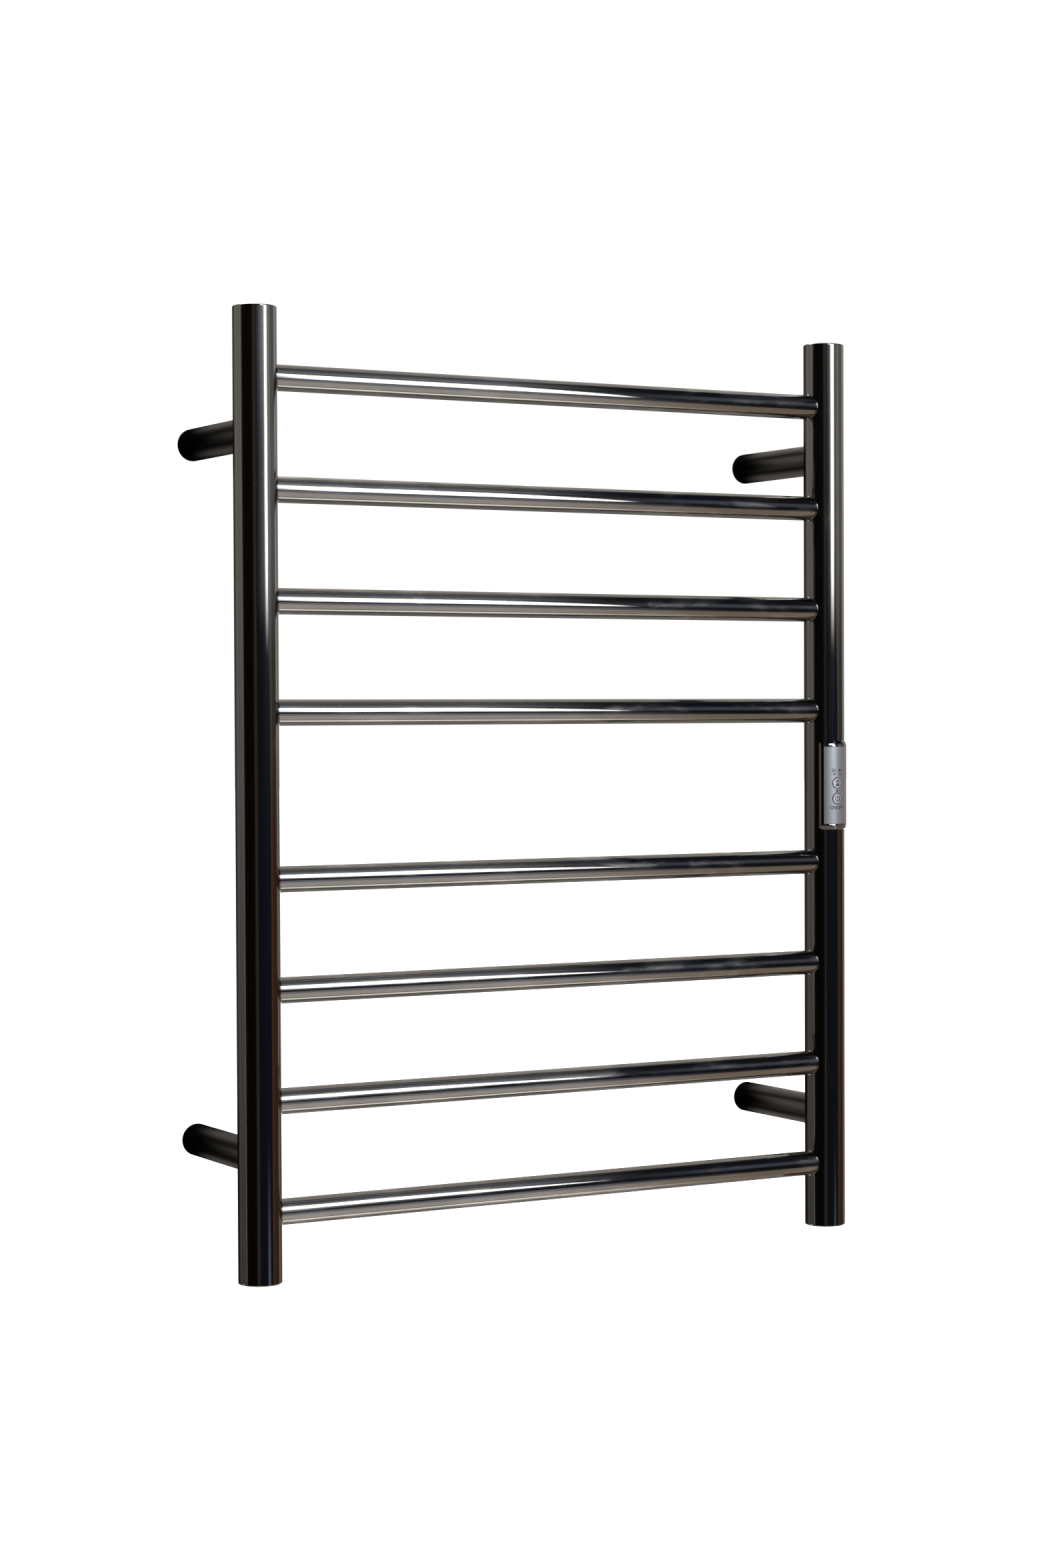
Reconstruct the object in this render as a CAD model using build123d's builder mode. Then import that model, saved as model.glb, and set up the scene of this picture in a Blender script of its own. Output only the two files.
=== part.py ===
from build123d import *
import math
import os

os.makedirs("parts", exist_ok=True)

# Heated towel rail for a wall. Millimetres, +Z up, +X to the right seen from the front, +Y towards
# the wall. The origin is on the wall, in the middle of the four wall screws.

# Rail
RAIL_HEIGHT = 700.0
UPRIGHT_SPACING = 494.0
WALL_REACH = 114.0              # from the wall to the axes of the uprights
UPRIGHT_DIAMETER = 31.8
UPRIGHT_WALL = 1.2
BAR_DIAMETER = 19.0
BAR_WALL = 1.0
BAR_PITCH = 80.0
MIDDLE_GAP = 120.0              # between the two groups of bars, axis to axis
BARS_PER_GROUP = 4
BAR_INSERTION = 1.2             # how far a bar's end stands past the bore of the upright
BAR_CLEARANCE = 0.05

# End caps
CAP_THICKNESS = 1.2
CAP_EDGE_RADIUS = 1.0
CAP_SPIGOT = 6.0
CAP_SPIGOT_WALL = 1.5
CAP_CLEARANCE = 0.1

# Wall brackets
SLEEVE_DIAMETER = 24.0
SLEEVE_WALL = 2.0
SLEEVE_WEB = 4.0                # solid end at the upright
SLEEVE_EDGE_RADIUS = 0.8
COPE_CLEARANCE = 0.05           # between the sleeve's saddle and the upright
BOSS_LENGTH = 30.0
BOSS_CLEARANCE = 0.15
WALL_HOLE_DIAMETER = 5.2
WALL_HOLE_OFFSET = 4.6          # wall screw off the boss's axis, away from mid-height
CABLE_HOLE_DIAMETER = 7.6
CABLE_HOLE_OFFSET = 4.4         # cable hole off the boss's axis, towards mid-height
GRUB_DIAMETER = 5.0
GRUB_CLEARANCE = 0.1
GRUB_FROM_WALL = 14.0
GRUB_RECESS = 0.9               # below the sleeve's surface
GRUB_GROOVE_DEPTH = 0.8         # round the boss, where the grub screw bears
GRUB_GROOVE_WIDTH = 7.0
GRUB_KEY = 2.5                  # hexagon key, across flats
GRUB_KEY_DEPTH = 2.0

# Hollow studs that hold the sleeves to the uprights
STUD_DIAMETER = 10.0
STUD_BORE = 6.4
STUD_CLEARANCE = 0.1
STUD_PROJECTION = 1.5           # past the nut
NUT_ACROSS_FLATS = 16.0
NUT_THICKNESS = 5.0
WASHER_DIAMETER = 17.0
WASHER_THICKNESS = 1.0
ANCHOR_DIAMETER = 16.0
ANCHOR_THICKNESS = 5.2
ANCHOR_CLEARANCE = 0.05
EARTH_TAB_WIDTH = 5.0
EARTH_TAB_LENGTH = 1.0          # past the washer's edge

# Supply
GROMMET_BORE = 6.0
GROMMET_CLEARANCE = 0.1
GROMMET_FLANGE_DIAMETER = 8.8
GROMMET_FLANGE_THICKNESS = 1.5
TERMINAL_WIDTH = 13.0
TERMINAL_LENGTH = 20.0
TERMINAL_CLEARANCE = 0.1
TERMINAL_TO_NUT = 15.0
TERMINAL_WIRE_HOLE = 2.4
TERMINAL_WIRE_PITCH = 4.0
TERMINAL_WIRE_DEPTH = 7.0
SUPPLY_LEAD_DIAMETER = 4.0
SUPPLY_LEAD_RADII = (8.0, 40.0, 40.0, 40.0)
SUPPLY_LANE = 6.5               # to the right of the upright's axis
SUPPLY_LANE_BACK = 1.0          # behind the upright's axis
SUPPLY_RISE = 28.0              # from the bracket until the lead is in its lane
SUPPLY_CROSSING = (75.0, 45.0)  # below mid-height, where the lead moves forward to the unit

# Heating cable, lying on the bottom of the bars
CABLE_DIAMETER = 4.0
CABLE_LIFT = 0.3
CABLE_TURN_RADIUS = 10.0
CABLE_OUT_RADII = (15.0, 8.0)   # from the control unit into the first bar
CABLE_BACK_RADII = (8.0, 30.0)  # from the last bar back to the control unit
CABLE_FIRST_TURN = 1.0          # short of the upright's axis
CABLE_LAST_TURN = 6.0           # past the upright's axis
CABLE_BACK_DROP = 44.0          # along the upright, until the cable is in its lane

# Control unit on the front of the right upright
CONTROL_Z = 0.9                 # middle of the unit, above the rail's mid-height
CONTROL_HEIGHT = 70.0
CONTROL_WIDTH = 24.4
CONTROL_RISE = 2.0              # above the surface of the upright
CONTROL_EDGE_RADIUS = 0.8
CONTROL_CORNER_RADIUS = 2.6
CORNER_CROSSING = 0.1           # the corners' arcs run this far past the cover's sides and ends
SHOULDER_LENGTH = 4.6
SHOULDER_STEP = 0.4
COVER_CLEARANCE = 0.05
PANEL_WIDTH = 20.9
PANEL_HEIGHT = 61.0
PANEL_THICKNESS = 0.8
PANEL_CLEARANCE = 0.1
SEAL_THICKNESS = 0.4
SEAL_CLEARANCE = 0.05
SEAL_MARGIN = 1.4               # inside the edge of the cover
WINDOW_WIDTH = 17.0
WINDOW_HEIGHT = 48.0
WINDOW_CORNER = 1.0
BOX_CLEARANCE = 0.3             # between the unit's box and the window
BOX_WALL = 1.0
BOX_BITE = 0.4                  # how far the box's walls run into the cover's skin
BOX_DEPTH = 11.7                # from the surface of the upright to the back of the box's walls
LATCH_RISE = 0.7
LATCH_LENGTH = 8.0
LATCH_SLOPE = 2.2
LATCH_SPACING = 24.0
BACK_THICKNESS = 1.2
BACK_POST_DIAMETER = 1.4
BACK_POST_SPACING = 25.0

# Circuit board
BOARD_RECESS = 5.5              # from the surface of the upright to the front of the board
BOARD_THICKNESS = 1.6
BOARD_LEDGE = 0.8
BOARD_CLEARANCE = 0.1
SEAT_GAP = 0.05                 # between pieces that just meet

# Buttons
TIMER_BUTTON_Z = 1.7
POWER_BUTTON_Z = -10.5
BUTTON_DIAMETER = 8.6
BUTTON_CLEARANCE = 0.2
BUTTON_PROUD = 0.5
BUTTON_EDGE_RADIUS = 0.3
BUTTON_FLANGE = 0.6             # wider than the button, all round
BUTTON_FLANGE_THICKNESS = 0.8
BUTTON_FLANGE_GAP = 0.1
BUTTON_STEM_DIAMETER = 3.0
BUTTON_TRAVEL = 0.6
SWITCH_WIDTH = 6.0
SWITCH_HEIGHT = 2.0
PLUNGER_DIAMETER = 3.0
PLUNGER_PROJECTION = 1.2
PLUNGER_LENGTH = 2.2
PLUNGER_CLEARANCE = 0.08
PLUNGER_ROOM = 0.1              # left under the plunger when it is pressed

# Indicators
LIGHT_DIAMETER = 1.4
LIGHT_CLEARANCE = 0.05
LIGHT_FLANGE_DIAMETER = 1.8
LIGHT_FLANGE_THICKNESS = 0.6
HOURS_LIGHT_Z = 8.8
HOURS_LIGHT_SPACING = 5.4
POWER_LIGHT_Z = -4.4
LAMP_LENGTH = 1.6
LAMP_WIDTH = 1.0
LAMP_HEIGHT = 0.6
LAMP_GAP = 0.3

# Parts on the board
CHIP_SIZE = (5.0, 4.0, 1.2)
CHIP_Z = 16.0
RELAY_SIZE = (10.0, 10.0, 4.0)
RELAY_Z = -3.0
CAPACITOR_SIZE = (9.0, 5.0, 3.5)
CAPACITOR_Z = 6.5
FUSE_DIAMETER = 2.6
FUSE_LENGTH = 8.0
FUSE_Z = -10.5
CONNECTOR_LENGTH = 6.0
CONNECTOR_HEIGHT = 4.2
CONNECTOR_FROM_END = 2.6        # from the end of the box's inside
WIRE_PITCH = 4.9
WIRE_DEPTH = 2.5                # from the back of the board to the axis of a wire
WIRE_CLEARANCE = 0.1

# Worked out from the above
rail_y = -WALL_REACH
upright_x = UPRIGHT_SPACING / 2
upright_r = UPRIGHT_DIAMETER / 2
bore_r = upright_r - UPRIGHT_WALL
tube_half = RAIL_HEIGHT / 2 - CAP_THICKNESS
bar_r = BAR_DIAMETER / 2
bar_bore_r = bar_r - BAR_WALL
bar_end_x = upright_x - math.sqrt(bore_r**2 - bar_r**2) + BAR_INSERTION
upper_bars = [MIDDLE_GAP / 2 + BAR_PITCH * i for i in range(BARS_PER_GROUP)]
lower_bars = [-z for z in upper_bars]
bracket_z = upper_bars[-1] - BAR_PITCH / 2
brackets = [(x, z) for z in (bracket_z, -bracket_z) for x in (-upright_x, upright_x)]
wired_bracket = (upright_x, -bracket_z)
sleeve_r = SLEEVE_DIAMETER / 2
sleeve_bore_r = sleeve_r - SLEEVE_WALL
boss_r = sleeve_bore_r - BOSS_CLEARANCE
stud_r = STUD_DIAMETER / 2
grub_r = GRUB_DIAMETER / 2

# Depths of the bracket's parts, measured from the wall towards the upright
web_depth = WALL_REACH - upright_r - COPE_CLEARANCE - SLEEVE_WEB
nut_depth = web_depth - WASHER_THICKNESS - NUT_THICKNESS
stud_outer_depth = nut_depth - STUD_PROJECTION
stud_inner_depth = WALL_REACH - bore_r + ANCHOR_THICKNESS
terminal_depth = stud_outer_depth - TERMINAL_TO_NUT

# Radii and depths of the control unit, measured forward from the axis of the upright
cover_r = upright_r + CONTROL_RISE
pocket_r = cover_r - PANEL_THICKNESS
seal_r = upright_r + SEAL_THICKNESS
box_half_width = WINDOW_WIDTH / 2 - BOX_CLEARANCE
box_half_height = WINDOW_HEIGHT / 2 - BOX_CLEARANCE
inner_half_width = box_half_width - BOX_WALL
inner_half_height = box_half_height - BOX_WALL
box_back = upright_r - BOX_DEPTH
board_front = upright_r - BOARD_RECESS
board_back = board_front - BOARD_THICKNESS
wire_front = board_back - WIRE_DEPTH
button_r = BUTTON_DIAMETER / 2
flange_r = button_r + BUTTON_FLANGE
flange_front = math.sqrt(seal_r**2 - flange_r**2) - BUTTON_FLANGE_GAP
flange_back = flange_front - BUTTON_FLANGE_THICKNESS
plunger_front = board_front + SWITCH_HEIGHT + PLUNGER_PROJECTION
button_heights = (TIMER_BUTTON_Z, POWER_BUTTON_Z)
light_places = [
    (-HOURS_LIGHT_SPACING / 2, HOURS_LIGHT_Z),
    (HOURS_LIGHT_SPACING / 2, HOURS_LIGHT_Z),
    (0, POWER_LIGHT_Z),
]


def keep(builder, name):
    """Label a finished piece and write it."""
    builder.part.label = name
    export_step(builder.part, f"parts/{name}.step")


def from_wall(x, z, depth=0.0):
    """Plane at a depth in front of the wall; its local x is +Z and it faces the room."""
    return Plane(origin=(x, -depth, z), x_dir=(0, 0, 1), z_dir=(0, -1, 0))


def from_axis(depth=0.0):
    """Plane in front of the control unit's middle; its local x is +X, its local y is +Z."""
    return Plane(origin=(upright_x, rail_y - depth, CONTROL_Z), x_dir=(1, 0, 0), z_dir=(0, -1, 0))


def across_axis(z):
    """Level plane on the right upright's axis, at a height from the control unit's middle."""
    return Plane(origin=(upright_x, rail_y, CONTROL_Z + z))


# Uprights
def make_upright(x, name, has_window):
    inward = Plane(origin=(x, rail_y, 0), x_dir=(0, 0, 1), z_dir=(-math.copysign(1, x), 0, 0))
    backward = Plane(origin=(x, rail_y, 0), x_dir=(0, 0, 1), z_dir=(0, 1, 0))
    with BuildPart() as upright:
        with BuildSketch(Plane(origin=(x, rail_y, -tube_half))):
            Circle(upright_r)
            Circle(bore_r, mode=Mode.SUBTRACT)
        extrude(amount=2 * tube_half)
        with BuildSketch(inward):
            with Locations(*[(z, 0) for z in upper_bars + lower_bars]):
                Circle(bar_r + BAR_CLEARANCE)
        extrude(amount=UPRIGHT_DIAMETER, mode=Mode.SUBTRACT)
        with BuildSketch(backward):
            with Locations((bracket_z, 0), (-bracket_z, 0)):
                Circle(stud_r + STUD_CLEARANCE)
        extrude(amount=UPRIGHT_DIAMETER, mode=Mode.SUBTRACT)
        if has_window:
            with BuildSketch(from_axis()):
                RectangleRounded(WINDOW_WIDTH, WINDOW_HEIGHT, WINDOW_CORNER)
            extrude(amount=UPRIGHT_DIAMETER, mode=Mode.SUBTRACT)
    keep(upright, name)


make_upright(-upright_x, "left_upright", has_window=False)
make_upright(upright_x, "right_upright", has_window=True)


# Cross bars, numbered from the top
def make_bar(z, name):
    with BuildPart() as bar:
        with BuildSketch(Plane(origin=(-bar_end_x, rail_y, z), x_dir=(0, 1, 0), z_dir=(1, 0, 0))):
            Circle(bar_r)
            Circle(bar_bore_r, mode=Mode.SUBTRACT)
        extrude(amount=2 * bar_end_x)
    keep(bar, name)


for number, bar_z in enumerate(sorted(upper_bars + lower_bars, reverse=True), start=1):
    make_bar(bar_z, f"cross_bar_{number}")


# End caps: a disc with a rounded edge, and a spigot inside the tube
def make_cap(x, up, name):
    outward = (0, 0, up)
    with BuildPart() as cap:
        with BuildSketch(Plane(origin=(x, rail_y, up * tube_half), z_dir=outward)):
            Circle(upright_r)
        extrude(amount=CAP_THICKNESS)
        rim = cap.edges().sort_by(Axis((0, 0, 0), outward))[-1]
        fillet(rim, radius=min(CAP_EDGE_RADIUS, CAP_THICKNESS - SEAT_GAP))
        with BuildSketch(Plane(origin=(x, rail_y, up * tube_half), z_dir=outward)):
            Circle(bore_r - CAP_CLEARANCE)
            Circle(bore_r - CAP_CLEARANCE - CAP_SPIGOT_WALL, mode=Mode.SUBTRACT)
        extrude(amount=-CAP_SPIGOT)
    keep(cap, name)


for side, cap_x in (("left", -upright_x), ("right", upright_x)):
    make_cap(cap_x, 1, f"{side}_top_cap")
    make_cap(cap_x, -1, f"{side}_bottom_cap")


# Bracket sleeves: coped to the upright, with a solid end there and open at the wall
def make_sleeve(x, z, name):
    with BuildPart() as sleeve:
        with BuildSketch(from_wall(x, z)):
            Circle(sleeve_r)
        extrude(amount=WALL_REACH)
        fillet(sleeve.edges().sort_by(Axis.Y)[-1], radius=min(SLEEVE_EDGE_RADIUS, SLEEVE_WALL / 2))
        with BuildSketch(Plane(origin=(x, rail_y, z - SLEEVE_DIAMETER))):
            Circle(upright_r + COPE_CLEARANCE)
        extrude(amount=2 * SLEEVE_DIAMETER, mode=Mode.SUBTRACT)
        with BuildSketch(from_wall(x, z)):
            Circle(sleeve_bore_r)
        extrude(amount=web_depth, mode=Mode.SUBTRACT)
        with BuildSketch(from_wall(x, z)):
            Circle(stud_r + STUD_CLEARANCE)
        extrude(amount=WALL_REACH, mode=Mode.SUBTRACT)
        with BuildSketch(Plane(origin=(x, -GRUB_FROM_WALL, z), z_dir=(0, 0, -1))):
            Circle(grub_r + GRUB_CLEARANCE)
        extrude(amount=SLEEVE_DIAMETER, mode=Mode.SUBTRACT)
    keep(sleeve, name)


# Wall bosses: the same piece everywhere, turned over between the upper and the lower pair
def make_boss(x, z, name):
    turned = Plane(origin=(x, 0, z), x_dir=(0, 0, math.copysign(1, z)), z_dir=(0, -1, 0))
    with BuildPart() as boss:
        with BuildSketch(turned):
            Circle(boss_r)
            with Locations((WALL_HOLE_OFFSET, 0)):
                Circle(WALL_HOLE_DIAMETER / 2, mode=Mode.SUBTRACT)
            with Locations((-CABLE_HOLE_OFFSET, 0)):
                Circle(CABLE_HOLE_DIAMETER / 2, mode=Mode.SUBTRACT)
        extrude(amount=BOSS_LENGTH)
        with BuildSketch(from_wall(x, z, GRUB_FROM_WALL - GRUB_GROOVE_WIDTH / 2)):
            Circle(sleeve_r)
            Circle(boss_r - GRUB_GROOVE_DEPTH, mode=Mode.SUBTRACT)
        extrude(amount=GRUB_GROOVE_WIDTH, mode=Mode.SUBTRACT)
    keep(boss, name)


for place_x, place_z in brackets:
    corner = ("upper" if place_z > 0 else "lower") + ("_left" if place_x < 0 else "_right")
    make_sleeve(place_x, place_z, f"{corner}_bracket_sleeve")
    make_boss(place_x, place_z, f"{corner}_wall_boss")


# Grub screws, with a hexagon socket, up against the grooves of the bosses
grub_top = boss_r - GRUB_GROOVE_DEPTH
grub_length = sleeve_r - GRUB_RECESS - grub_top
with BuildPart() as grub_screws:
    for x, z in brackets:
        with BuildSketch(Plane(origin=(x, -GRUB_FROM_WALL, z - grub_top), z_dir=(0, 0, -1))):
            Circle(grub_r)
        extrude(amount=grub_length)
        with BuildSketch(Plane(origin=(x, -GRUB_FROM_WALL, z - grub_top - grub_length), z_dir=(0, 0, 1))):
            RegularPolygon(GRUB_KEY / 2, 6, major_radius=False)
        extrude(amount=min(GRUB_KEY_DEPTH, grub_length - SLEEVE_WALL / 2), mode=Mode.SUBTRACT)
keep(grub_screws, "grub_screws")


# Anchor nuts inside the uprights, rounded to the bore
with BuildPart() as anchor_nuts:
    for x, z in brackets:
        with BuildSketch(from_wall(x, z, WALL_REACH - bore_r)):
            Circle(ANCHOR_DIAMETER / 2)
            Circle(stud_r + STUD_CLEARANCE, mode=Mode.SUBTRACT)
        extrude(amount=ANCHOR_THICKNESS)
    with BuildSketch(Plane.XY.offset(-tube_half)):
        with Locations((-upright_x, rail_y), (upright_x, rail_y)):
            Circle(bore_r - ANCHOR_CLEARANCE)
    extrude(amount=2 * tube_half, mode=Mode.INTERSECT)
keep(anchor_nuts, "anchor_nuts")


# Hollow studs
with BuildPart() as hollow_studs:
    for x, z in brackets:
        with BuildSketch(from_wall(x, z, stud_outer_depth)):
            Circle(stud_r)
            Circle(STUD_BORE / 2, mode=Mode.SUBTRACT)
        extrude(amount=stud_inner_depth - stud_outer_depth)
keep(hollow_studs, "hollow_studs")


# Nuts and washers on the studs, with an earth tag for a washer on the wired bracket
with BuildPart() as stud_nuts:
    for x, z in brackets:
        with BuildSketch(from_wall(x, z, nut_depth)):
            RegularPolygon(NUT_ACROSS_FLATS / 2, 6, major_radius=False)
            Circle(stud_r + STUD_CLEARANCE, mode=Mode.SUBTRACT)
        extrude(amount=NUT_THICKNESS)
keep(stud_nuts, "stud_nuts")

with BuildPart() as stud_washers:
    for x, z in brackets:
        if (x, z) != wired_bracket:
            with BuildSketch(from_wall(x, z, web_depth - WASHER_THICKNESS)):
                Circle(WASHER_DIAMETER / 2)
                Circle(stud_r + STUD_CLEARANCE, mode=Mode.SUBTRACT)
            extrude(amount=WASHER_THICKNESS)
keep(stud_washers, "stud_washers")

earth_tab_reach = WASHER_DIAMETER / 2 + EARTH_TAB_LENGTH
with BuildPart() as earth_tag:
    with BuildSketch(from_wall(*wired_bracket, web_depth - WASHER_THICKNESS)):
        Circle(WASHER_DIAMETER / 2)
        with Locations((earth_tab_reach / 2, 0)):
            Rectangle(earth_tab_reach, EARTH_TAB_WIDTH)
        Circle(stud_r + STUD_CLEARANCE, mode=Mode.SUBTRACT)
    extrude(amount=WASHER_THICKNESS)
keep(earth_tag, "earth_tag")


# Grommet in the cable hole of the wired boss, with its flange on the boss's front face
inlet_z = -bracket_z + CABLE_HOLE_OFFSET
with BuildPart() as supply_grommet:
    with BuildSketch(from_wall(upright_x, inlet_z)):
        Circle(CABLE_HOLE_DIAMETER / 2 - GROMMET_CLEARANCE)
    extrude(amount=BOSS_LENGTH)
    with BuildSketch(from_wall(upright_x, inlet_z, BOSS_LENGTH)):
        Circle(GROMMET_FLANGE_DIAMETER / 2)
    extrude(amount=GROMMET_FLANGE_THICKNESS)
    with BuildSketch(from_wall(upright_x, inlet_z)):
        Circle(GROMMET_BORE / 2)
    extrude(amount=BOSS_LENGTH + GROMMET_FLANGE_THICKNESS, mode=Mode.SUBTRACT)
keep(supply_grommet, "supply_grommet")


# Terminal block, its four long edges against the bore of the wired sleeve
terminal_height = 2 * (math.sqrt((sleeve_bore_r - TERMINAL_CLEARANCE)**2 - (TERMINAL_WIDTH / 2)**2))
with BuildPart() as terminal_block:
    with BuildSketch(from_wall(*wired_bracket, terminal_depth - TERMINAL_LENGTH)):
        Rectangle(terminal_height, TERMINAL_WIDTH)
    extrude(amount=TERMINAL_LENGTH)
    with BuildSketch(from_wall(*wired_bracket, terminal_depth - TERMINAL_LENGTH)):
        with GridLocations(0, TERMINAL_WIRE_PITCH, 1, 3):
            Circle(TERMINAL_WIRE_HOLE / 2)
    extrude(amount=TERMINAL_WIRE_DEPTH, mode=Mode.SUBTRACT)
keep(terminal_block, "terminal_block")


# Cables: straight runs joined by tangent arcs
def make_cable(points, radii, diameter, name):
    with BuildPart() as cable:
        with BuildLine() as route:
            FilletPolyline(*points, radius=radii)
        with BuildSketch(Plane(origin=route.wire() @ 0, z_dir=route.wire() % 0)):
            Circle(diameter / 2)
        sweep()
    keep(cable, name)
    section = math.pi * (diameter / 2)**2
    print(name, "radii", radii, "volume over section times length",
          round(cable.part.volume / (section * route.wire().length), 5))


def inside_upright(right, forward, z):
    """Point in the right upright, from its axis."""
    return (upright_x + right, rail_y - forward, z)


# Where the wires meet the connectors on the board, counted from the unit's middle
wire_end = inner_half_height - CONNECTOR_FROM_END + SEAT_GAP
box_entry = box_half_height + CABLE_TURN_RADIUS


def make_heating_cable(bars, name):
    """From the unit, to and fro through a group of bars, and back along the right upright."""
    toward_end = math.copysign(1, bars[0])
    floors = [z - bar_bore_r + CABLE_LIFT + CABLE_DIAMETER / 2 for z in bars]
    points = [
        inside_upright(0, wire_front, CONTROL_Z + toward_end * wire_end),
        inside_upright(0, wire_front, CONTROL_Z + toward_end * box_entry),
        inside_upright(-CABLE_FIRST_TURN, 0, floors[0]),
    ]
    side = -1
    for floor, next_floor in zip(floors, floors[1:]):
        points.append((side * upright_x, rail_y, floor))
        points.append((side * upright_x, rail_y, next_floor))
        side = -side
    points.append(inside_upright(CABLE_LAST_TURN, 0, floors[-1]))
    points.append(inside_upright(-WIRE_PITCH, wire_front, floors[-1] - toward_end * CABLE_BACK_DROP))
    points.append(inside_upright(-WIRE_PITCH, wire_front, CONTROL_Z + toward_end * wire_end))
    turns = [CABLE_TURN_RADIUS] * (2 * len(bars) - 2)
    radii = [*CABLE_OUT_RADII, *turns, *CABLE_BACK_RADII]
    make_cable(points, radii, CABLE_DIAMETER, name)


make_heating_cable(upper_bars, "upper_heating_cable")
make_heating_cable(lower_bars, "lower_heating_cable")

# The supply lead runs from the terminal block through the hollow stud and up to the unit
supply_points = [
    (upright_x, -terminal_depth, -bracket_z),
    inside_upright(0, -SUPPLY_LANE_BACK, -bracket_z),
    inside_upright(SUPPLY_LANE, -SUPPLY_LANE_BACK, -bracket_z + SUPPLY_RISE),
    inside_upright(SUPPLY_LANE, -SUPPLY_LANE_BACK, -SUPPLY_CROSSING[0]),
    inside_upright(WIRE_PITCH, wire_front, -SUPPLY_CROSSING[1]),
    inside_upright(WIRE_PITCH, wire_front, CONTROL_Z - wire_end),
]
make_cable(supply_points, list(SUPPLY_LEAD_RADII), SUPPLY_LEAD_DIAMETER, "supply_lead")


# Cover of the control unit: a saddle on the upright, with a box behind it that goes in at the window
def saddle_section(outer, inner, edge_radius, z):
    """Level section: the front of a ring about the upright's axis, between the cover's flat sides."""
    with BuildSketch(across_axis(z)) as section:
        Circle(outer)
        with Locations((0, -outer / 2)):
            Rectangle(CONTROL_WIDTH, outer, mode=Mode.INTERSECT)
        if edge_radius:
            fillet(section.vertices().sort_by(Axis.Y)[:2], radius=edge_radius)
        Circle(inner, mode=Mode.SUBTRACT)
    return section.sketch


def notch_section(places, diameter, z):
    """Level section: slots open to the back, round at the wires that lie in them."""
    with BuildSketch(across_axis(z)) as section:
        with Locations(*[(x, -wire_front) for x in places]):
            Circle(diameter / 2)
        with Locations(*[(x, -wire_front / 2) for x in places]):
            Rectangle(diameter, wire_front)
    return section.sketch


def block_section(half_width, back, front, outer, z):
    """Level section: a block between two depths in front of the axis, with a round front."""
    with BuildSketch(across_axis(z)) as section:
        with Locations((0, -(back + front) / 2)):
            Rectangle(2 * half_width, front - back)
        Circle(outer, mode=Mode.INTERSECT)
    return section.sketch


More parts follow.
